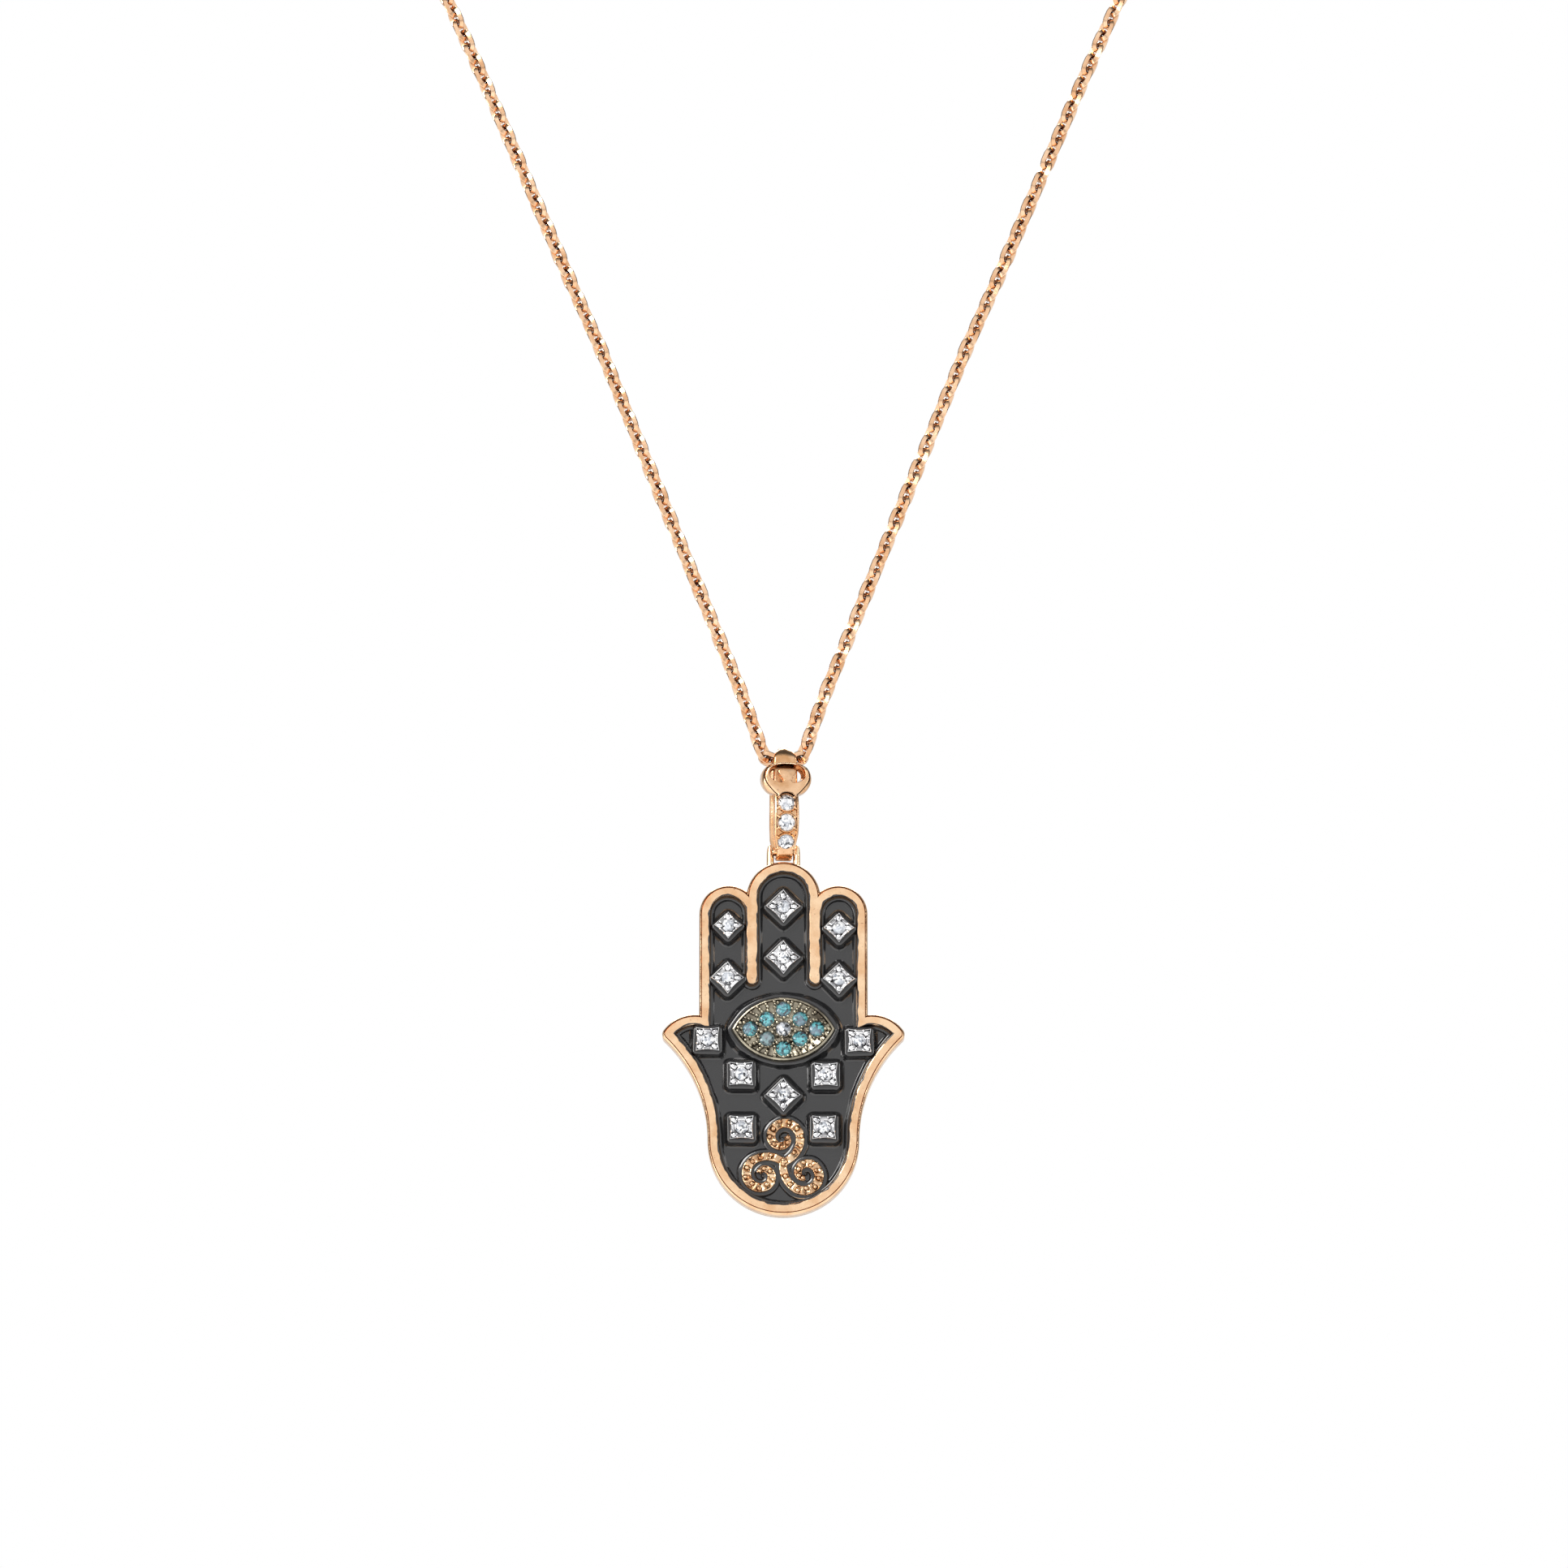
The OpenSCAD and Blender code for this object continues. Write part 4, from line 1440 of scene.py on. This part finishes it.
@dataclass
class Bail:
    """The long bail: a strap round the chain and the eyelet, a cupped collar and its web.

    Attributes:
        length: From the middle of the top bend to the middle of the foot's.
        turn: How far it is turned about its height, in degrees.
        strap: Thickness of the strap.
        arm: Thickness of the front arm.
        window_power: How square the collar's window is, from 2 for an oval.
        face_half: Half of the width of the collar's face.
        dome_z: Height over which the strap's sides round off, by dome_r to dome_least.
        border_depth: How far the borders stand over the arm's face.
        rib_depth: Depth of the ribs in the foot.
        half_widths: Height over the top bend's middle, and half of the strap's width.
        face: Right half of the collar's face.
        body: Right half of the collar's body behind its face.
        outer: The collar's outside: share of the face, growth, and depth behind the front.
        inner: Its window: growth, and depth behind the front.
        mushroom: Right half of the web in the window.
        web_steps: How far the web is drawn in, and its depth behind its own front.
        seat_steps: Distance from a stone and lift of the rings of its seat.
    """

    length: float = 6.2
    turn: float = 9.0
    strap: float = 0.4
    arm: float = 0.6
    bend: float = 0.78
    arm_r: float = 4.1
    arm_bow: float = 1.65
    arm_z: float = -4.092
    stone_step: float = 20.5
    stone_lean: float = 9.0
    stone_d: float = 1.26
    collar_z: float = -1.575
    window_w: float = 2.55
    window_h: float = 1.35
    window_z: float = -1.203
    window_power: float = 2.4
    face_half: float = 1.63
    dome_z: float = 0.18
    dome_r: float = 0.8
    dome_least: float = math.sqrt(0.22)
    border_depth: float = 0.09
    rib_depth: float = 0.035
    half_widths: Rows = (
        (-7.2, 0.57), (-6.49, 0.57), (-6.25, 0.72), (-5.58, 0.85), (-4.526, 0.88),
        (-0.992, 0.85), (0.18, 0.8),
    )
    face: Rows = (
        (0.0, -1.02), (0.35, -1.1), (0.56, -1.3), (0.66, -1.38), (0.74, -1.18), (0.95, -0.97),
        (1.18, -0.72), (1.38, -0.48), (1.55, -0.2), (1.63, 0.1), (1.56, 0.5), (1.34, 0.82),
        (0.95, 1.0), (0.5, 1.09), (0.0, 1.12),
    )
    body: Rows = (
        (0.0, -1.0), (0.35, -1.05), (0.6, -1.12), (0.78, -1.12), (0.95, -1.08), (1.15, -1.0),
        (1.38, -0.84), (1.58, -0.6), (1.73, -0.3), (1.78, 0.05), (1.7, 0.48), (1.44, 0.84),
        (1.02, 1.05), (0.5, 1.13), (0.0, 1.16),
    )
    outer: Rows = (
        (0.0, -0.1, 1.2), (0.0, -0.02, 1.2), (0.0, 0.0, 1.13), (0.0, 0.0, 0.6),
        (0.15, 0.0, 0.42), (0.5, 0.0, 0.3), (0.9, 0.02, 0.22), (1.0, 0.02, 0.2),
        (1.0, -0.02, 0.28), (1.0, -0.05, 0.15), (1.0, -0.09, 0.05), (1.0, -0.17, 0.0),
        (1.0, -0.2, 0.0),
    )
    inner: Rows = (
        (0.07, 0.0), (0.04, 0.0), (0.02, 0.02), (0.0, 0.07), (-0.04, 0.2), (-0.14, 0.7),
        (-0.18, 1.0), (-0.14, 1.2),
    )
    mushroom: Rows = (
        (0.0, -0.55), (0.5, -0.5), (0.33, -0.33), (0.27, -0.2), (0.31, -0.08), (0.42, 0.09),
        (0.55, 0.27), (0.62, 0.45), (0.6, 0.6), (0.5, 0.69), (0.25, 0.7), (0.0, 0.7),
    )
    web_steps: Rows = ((0.0, 1.2), (0.0, 0.06), (0.025, 0.015), (0.07, 0.0))
    seat_steps: Rows = ((0.12, -0.12), (0.06, -0.01), (0.01, 0.0), (-0.03, -0.1))

    @property
    def front(self) -> float:
        """Depth of the collar's front."""
        return -self.arm_bow - 0.2

    def place(self) -> Matrix:
        """Where the bail hangs."""
        return Matrix.Translation(HANG) @ Matrix.Rotation(math.radians(self.turn), 4, "Z")

    def build(self) -> bpy.types.Object:
        """Builds the bail."""
        bm = bmesh.new()
        self.strap_wall(bm)
        self.collar(bm)
        self.web(bm)
        for i in range(3):
            self.seat(bm, i)
        return to_piece("Bail", bm, self.place(), BAIL_GOLD.material(), 40.0)

    def half_width(self, z: float) -> float:
        """Half of the strap's width at a height, which rounds off over the top."""
        if z <= self.dome_z:
            return lookup(self.half_widths, z)
        across = self.dome_r**2 - (z - self.dome_z) ** 2
        return max(math.sqrt(max(across, 0.0)), self.dome_least)

    def line(self) -> list[tuple[Vector, Vector, float]]:
        """The strap's middle line as depth and height, its outward way and how much it is arm."""
        found: list[tuple[Vector, Vector, float]] = []

        def bend(
            centre: Vector, radius: float, start: float, end: float, steps: int, arm: float
        ) -> None:
            """Adds the points of a bend."""
            for spot in arc(centre, radius, start, end, steps):
                found.append((spot, (spot - centre).normalized(), arm))

        def straight(y: float, heights: Sequence[float], way: float) -> None:
            """Adds the points of an upright stretch."""
            found.extend((Vector((y, z)), Vector((way, 0.0)), 0.0) for z in heights)

        bend(Vector((0.0, 0.0)), self.bend, 90, 0, 10, 0.0)
        straight(self.bend, (-0.5, -0.992, -2.0, -3.2, -4.526, -5.58, -5.9), 1.0)
        bend(Vector((0.0, -self.length)), self.bend, 0, -165, 18, 0.0)
        middle = Vector((self.arm_r - self.arm_bow, self.arm_z))
        bend(middle, self.arm_r - self.arm / 2, 211, 152, 24, 1.0)
        straight(-self.bend, (-1.7, -0.9, -0.4), -1.0)
        bend(Vector((0.0, 0.0)), self.bend, 180, 99, 9, 0.0)
        return found

    def strap_wall(self, bm: BMesh) -> None:
        """Draws the strap: raised borders beside the stones, a domed top and a ribbed foot."""
        rings = []
        for k, (spot, way, arm) in enumerate(self.line()):
            half = self.half_width(spot.y + way.y * self.strap / 2)
            thick = (self.arm if arm else self.strap) / 2
            if spot.y < -self.length - 0.2 and way.x < 0.3:
                thick -= self.rib_depth * (k % 2)
            dome = 0.17 * min(max(spot.y / 0.5, 0.0), 1.0)
            sunk = self.border_depth * arm
            side = [
                (half, -thick * 0.3),
                (half, thick - 0.12 - dome),
                (half - 0.03, thick - 0.04 - dome * 0.9),
                (half - 0.09, thick - dome * 0.75),
                (half - 0.16, thick - dome * 0.55),
                (half - 0.21, thick - sunk - dome * 0.4),
            ]
            inside = [(-half, -thick * 0.3), (0.14 - half, -thick * 0.8), (0.3 - half, -thick)]
            section = inside + [(-x, out) for x, out in reversed(inside)]
            section += side + [(0.0, thick - sunk)] + [(-x, out) for x, out in reversed(side)]
            places = [(x, spot + way * out) for x, out in dict.fromkeys(section)]
            rings.append([Vector((x, place.x, place.y)) for x, place in places])
        loft(bm, rings).join()

    def collar(self, bm: BMesh) -> None:
        """Draws the cupped collar, its face bevelled inside a dark crease, and its window."""
        face, body = (
            through(both_sides([Vector(p) for p in half]), 4) for half in (self.face, self.body)
        )
        rings = []
        for share, grow, back in self.outer:
            wide, tall = 1 + grow / self.face_half, 1 + 0.5 * grow
            spots = [a.lerp(b, share) for a, b in zip(body, face)]
            rings.append([self.on_collar(p.x * wide, back, p.y * tall) for p in spots])
        middle = Vector((0.0, self.window_z - self.collar_z - 0.06))
        power = self.window_power
        for grow, back in self.inner:
            a, b = self.window_w / 2 + grow, self.window_h / 2 + grow * 0.7
            ring = []
            for spot in face:
                way = (spot - middle).normalized()
                reach = (abs(way.x / a) ** power + abs(way.y / b) ** power) ** (-1 / power)
                x, z = middle + way * reach
                ring.append(self.on_collar(x, back, z))
            rings.append(ring)
        loft(bm, rings).join()

    def on_collar(self, x: float, back: float, z: float) -> Vector:
        """A spot of the collar, a distance behind its front."""
        return Vector((x, self.front + back, self.collar_z + z))

    def web(self, bm: BMesh) -> None:
        """Draws the mushroom-shaped web that stands in the window and leans back a little."""
        outline = through(both_sides([Vector(p) for p in self.mushroom]), 3)
        rings = []
        for inset, back in self.web_steps:
            ring = []
            for spot in outline:
                x, z = spot.x * (1 - inset * 1.6), 0.1 + (spot.y - 0.1) * (1 - inset * 1.3)
                lean = 0.14 * max(0.0, z + 0.36)
                ring.append(self.on_collar(x, 0.004 + lean + back, z))
            rings.append(ring)
        loft(bm, rings).close()

    def seat(self, bm: BMesh, i: int) -> None:
        """Adds the rim and the four grains round a stone.

        Args:
            bm: The bail's mesh.
            i: Number of the stone, from the top.
        """
        turn = (1 - i) * self.stone_step - self.stone_lean
        lean = Matrix.Rotation(math.radians(-turn), 4, "X")
        centre = Matrix.Translation((0.0, self.arm_r - self.arm_bow, self.arm_z))
        front = Matrix.Translation((0.0, -self.arm_r, 0.0)) @ Matrix.Rotation(math.pi / 2, 4, "X")
        part = bmesh.new()
        r = self.stone_d / 2
        around = partial(arc, Vector((0.0, 0.0)), start=0, end=352, steps=44)
        steps = tuple((r + grow, lift) for grow, lift in self.seat_steps)
        loft(part, rings_of(around, steps, 0.0)).join()
        for quarter in (35, 145, 215, 325):
            way = way_at(quarter).to_3d()
            bead(part, way * (r + 0.04), 0.12)
            bead(part, way * (r + 0.17) + Vector((0.0, 0.0, -0.03)), 0.09, 8)
        add_part(bm, part, centre @ lean @ front)


@dataclass
class Chain:
    """The cable chain: oval links that hold each other, one turned from the next.

    Attributes:
        length: Outer length of a link.
        width: Outer width of a link.
        wire: Thickness of its wire.
        pitch: Distance between links.
        route: The way of its right half, from the bail's middle to the clasp.
    """

    length: float = 1.84
    width: float = 1.26
    wire: float = 0.42
    pitch: float = 0.95
    route: Rows = (
        (0, -104, -106), (1, -104, -106), (1.45, -104, -105.5), (1.75, -104, -104.6),
        (2, -104, -103.8), (3, -104, -101), (5, -104, -96), (7, -104, -91), (9, -104, -86),
        (11, -104, -81), (13, -104, -76), (15.2, -104, -71), (17.3, -104, -66),
        (19.4, -104, -61), (21.5, -104, -56), (23.7, -104, -51), (26, -104, -46),
        (29.5, -103, -40), (33.5, -101, -34), (38, -98, -28.5), (42.5, -94, -23.5),
        (46.5, -88.5, -19), (50, -82, -15), (52.5, -75, -12), (54, -67.5, -9.5),
        (54.5, -60, -7), (54, -52, -5.5), (52, -44, -4), (48.5, -36.5, -3), (44, -29, -2),
        (38.5, -22, -1.5), (32, -16, -1), (25, -10.5, -0.5), (17.5, -6, 0), (10, -2.5, 0),
        (4.02, 0, 0), (3.02, 0, 0),
    )

    def link(self) -> bpy.types.Mesh:
        """One link about the origin, long way along X and flat in XY.

        Its wire is filed flat at 45 degrees to the link, so that the turned links of the chain
        show broad flat sides to the front.
        """
        straight = self.length / 2 - self.width / 2
        half = self.wire / 2
        middle = self.width / 2 - half
        edge = 0.035
        section = [(half, edge), (0.0, half), (-half, edge)]
        section += [(-half, -edge), (0.0, -half), (half, -edge)]
        line = [(straight, turn) for turn in range(-90, 91, 30)]
        line += [(-straight, turn) for turn in range(90, 271, 30)]
        rings = []
        for x, turn in line:
            way = way_at(turn).to_3d()
            spot = Vector((x, 0.0, 0.0)) + way * middle
            rings.append([spot + way * out + Vector((0.0, 0.0, z)) for out, z in section])
        bm = bmesh.new()
        loft(bm, rings).join()
        return to_mesh("link", bm)

    def spots(self) -> list[tuple[Vector, Vector]]:
        """The links' centres and headings from the bail's middle to the clasp."""
        points = [Vector(p) for p in self.route]
        legs = [(b - a).length for a, b in zip(points, points[1:])]
        total = sum(legs)
        count = round(total / self.pitch)
        found = []

        def along(dist: float) -> Vector:
            """The point of the route at a distance from its start, mirrored before it."""
            flip = dist < 0
            rest = abs(dist)
            for a, b, leg in zip(points, points[1:], legs):
                if rest <= leg:
                    break
                rest -= leg
            spot = a.lerp(b, min(rest / leg, 1.0))
            return Vector((-spot.x, spot.y, spot.z)) if flip else spot

        for k in range(count):
            dist = total * k / count
            reach = self.pitch * 0.6
            ahead, behind = along(min(dist + reach, total)), along(dist - reach)
            spot = (along(dist) * 2 + ahead + behind) / 4
            found.append((spot, (ahead - behind).normalized()))
        return found

    def build(self) -> bpy.types.Object:
        """Builds the chain."""
        link = self.link()
        bm = bmesh.new()
        chance = random.Random(SEED)
        up = Vector((0.0, 1.0, 0.0))
        for k, (spot, way) in enumerate(self.spots()):
            up = (up - way * up.dot(way)).normalized()
            tilt = math.radians(45 if k % 2 else -45) + chance.uniform(-0.06, 0.06)
            for flip in (False, True) if k else (False,):
                turned = Matrix.Rotation(tilt, 3, way) @ up
                side = turned.cross(way)
                turn = Matrix((way, side, turned)).transposed().to_4x4()
                place = Matrix.Translation(spot) @ turn
                if flip:
                    place = Matrix.Scale(-1, 4, (1.0, 0.0, 0.0)) @ place
                copy = link.copy()
                copy.transform(place)
                bm.from_mesh(copy)
                bpy.data.meshes.remove(copy)
        bpy.data.meshes.remove(link)
        return to_piece("Chain_links", bm, Matrix.Identity(4), CHAIN_GOLD.material(), 40.0)


@dataclass
class Clasp:
    """The plain barrel clasp at the nape.

    Attributes:
        length: Length of the barrel.
        radius: Its radius.
    """

    length: float = 6.0
    radius: float = 1.3

    def build(self) -> bpy.types.Object:
        """Builds the clasp by turning its profile round the barrel's line."""
        half, r = self.length / 2, self.radius
        side = [(half, 0.0), (half, 0.45 * r), (half - 0.12, 0.62 * r), (half - 0.6, 0.7 * r)]
        side += [(half - 1.0, 0.93 * r), (half - 1.2, r), (0.22, r), (0.14, 0.93 * r)]
        profile = [(-x, y) for x, y in side] + side[::-1]
        bm = bmesh.new()
        line = [bm.verts.new((x, 0.0, y)) for x, y in profile]
        edges = [bm.edges.new(pair) for pair in zip(line, line[1:])]
        bmesh.ops.spin(
            bm,
            geom=line + edges,
            axis=(1.0, 0.0, 0.0),
            cent=(0.0, 0.0, 0.0),
            angle=math.tau,
            steps=40,
            use_merge=True,
        )
        bmesh.ops.remove_doubles(bm, verts=bm.verts, dist=0.001)
        return to_piece("Clasp_barrel", bm, Matrix.Identity(4), CHAIN_GOLD.material())


@dataclass(frozen=True)
class Studio:
    """Camera, lights, floor and surroundings.

    Attributes:
        tilt: How far below level the camera looks up from, in degrees.
        distance: From the camera to the pendant, in metres.
        frame_width: Width of the picture at the pendant, in metres.
        aim: The point at the picture's centre, in millimetres.
        sensor: Width of the camera's sensor, in millimetres.
        greys: Places from left to right, and how bright the surroundings are there.
    """

    tilt: float = 12.0
    distance: float = 0.7
    frame_width: float = 0.1104
    aim: tuple[float, float, float] = (0.04, -104.0, -107.64)
    sensor: float = 36.0
    greys: Rows = (
        (0.0, 1.0), (0.13, 1.0), (0.2, 0.45), (0.3, 0.14), (0.5, 0.08), (0.62, 0.18),
        (0.8, 0.7), (1.0, 0.9),
    )

    def camera(self) -> None:
        """Sets the camera below the pendant, looking up at the photograph's angle."""
        lens = bpy.data.cameras.new("Camera")
        lens.sensor_width = self.sensor
        lens.lens = self.sensor * self.distance / self.frame_width
        lens.clip_start = 0.01
        lens.clip_end = 20.0
        camera = to_scene("Camera", lens)
        tilt = math.radians(self.tilt)
        back = Vector((0.0, -math.cos(tilt), -math.sin(tilt)))
        camera.location = Vector(self.aim) * MM + back * self.distance
        camera.rotation_euler = (math.radians(90 + self.tilt), 0.0, 0.0)
        bpy.context.scene.camera = camera

    def light(
        self, name: str, spot: Colour, size: tuple[float, float], power: float, tint: Colour
    ) -> None:
        """Adds a soft box that faces the pendant.

        Args:
            name: The light's name.
            spot: Where it stands, in metres.
            size: Its width and height, in metres.
            power: Its power, in watts.
            tint: Its colour.
        """
        lamp = bpy.data.lights.new(name, "AREA")
        lamp.shape = "RECTANGLE"
        lamp.size, lamp.size_y = size
        lamp.energy = power
        lamp.color = tint
        made = to_scene(name, lamp)
        made.location = spot
        way = Vector((0.0, -0.104, -0.12)) - Vector(spot)
        made.rotation_euler = way.to_track_quat("-Z", "Y").to_euler()

    def floor(self) -> None:
        """Lays the pale floor far below the hanging pendant."""
        bm = bmesh.new()
        bmesh.ops.create_grid(bm, x_segments=2, y_segments=2, size=3.0)
        bmesh.ops.translate(bm, verts=bm.verts, vec=(0.0, 0.0, -0.5))
        mesh = to_mesh("Floor", bm)
        g = Graph(bpy.data.materials.new("Pale_floor"))
        paint = g.surface(
            Base_Color=(0.9, 0.9, 0.9, 1.0),
            Roughness=0.8,
            Emission_Color=(*WHITE, 1.0),
            Emission_Strength=0.25,
        )
        mesh.materials.append(paint)
        to_scene("Floor", mesh)

    def surroundings(self) -> None:
        """Makes the studio's white backdrop, which is darker at the sides for the metal."""
        world = bpy.data.worlds.new("Studio")
        bpy.context.scene.world = world
        g = Graph(world)
        split = g.add("ShaderNodeSeparateXYZ", Vector=g.place["Generated"])
        across = g.add(
            "ShaderNodeMapRange", Value=split.outputs["Y"], From_Min=-1.0, From_Max=1.0
        )
        stops = [(spot, (grey, grey, grey)) for spot, grey in self.greys]
        lit = g.add("ShaderNodeBackground", Color=g.ramp(across.outputs["Result"], stops))
        plain = g.add("ShaderNodeBackground", Color=(*WHITE, 1.0))
        seen = g.add("ShaderNodeLightPath")
        mixed = g.add("ShaderNodeMixShader", Fac=seen.outputs["Is Camera Ray"])
        g.feed(mixed.inputs[1], lit.outputs[0])
        g.feed(mixed.inputs[2], plain.outputs[0])
        g.add("ShaderNodeOutputWorld", Surface=mixed.outputs[0])

    def build(self) -> None:
        """Sets up the whole studio."""
        self.camera()
        self.floor()
        self.surroundings()
        self.light("Key", (-0.5, -1.1, 0.5), (0.5, 0.5), 9.0, (1.0, 0.98, 0.95))
        self.light("Left_panel", (-1.1, -0.5, -0.1), (0.35, 1.4), 9.0, (1.0, 0.99, 0.97))
        self.light("Right_panel", (1.15, -0.45, 0.1), (0.2, 1.0), 4.0, (1.0, 1.0, 1.0))
        self.light("Rim", (0.0, 0.6, 0.6), (0.8, 0.3), 5.0, (1.0, 0.99, 0.97))
        bpy.context.scene.view_settings.view_transform = "Standard"


def dress_stones() -> None:
    """Gives each stone's own solid its finish and flat facets."""
    clear = CLEAR_STONE.material()
    teal = TEAL_STONE.material()
    grey = GREY_STONE.material()
    for name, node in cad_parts.items():
        if "stone" not in name:
            continue
        finish, slot = clear, Slot.CLEAR_STONE
        if name.startswith("eye_stone_") and name != "eye_stone_mid":
            finish, slot = teal, Slot.TEAL_STONE
        if name == "eye_stone_left_low":
            finish = grey
        node.data.materials.clear()
        node.data.materials.append(finish)
        for face in node.data.polygons:
            face.use_smooth = False


def main() -> None:
    """Builds and dresses the necklace, piece by piece."""
    logging.basicConfig(level=logging.INFO, format="%(message)s")
    noise.seed_set(SEED)
    Studio().build()
    hand = Hand()
    eye = Eye()
    settle(hand.build(), Body.HAMSA, ["frame"])
    scroll = Scroll()
    settle(EnamelField().build(hand, eye, scroll), Body.HAMSA, ["enamel"])
    settle(eye.build(hand), Body.HAMSA, ["eye_plate"])
    settle(scroll.build(hand), Body.HAMSA, ["scroll"])
    silver = WHITE_GOLD.material()
    for setting in SETTINGS:
        piece = setting.build(hand, silver)
        settle(piece, Body.HAMSA, [f"setting_{setting.name}"])
    settle(Bail().build(), Body.BAIL, ["bail"])
    settle(Chain().build(), Body.NECKLACE, ["chain"])
    settle(Clasp().build(), Body.NECKLACE, ["clasp"])
    dress_stones()


if __name__ == "__main__":
    main()
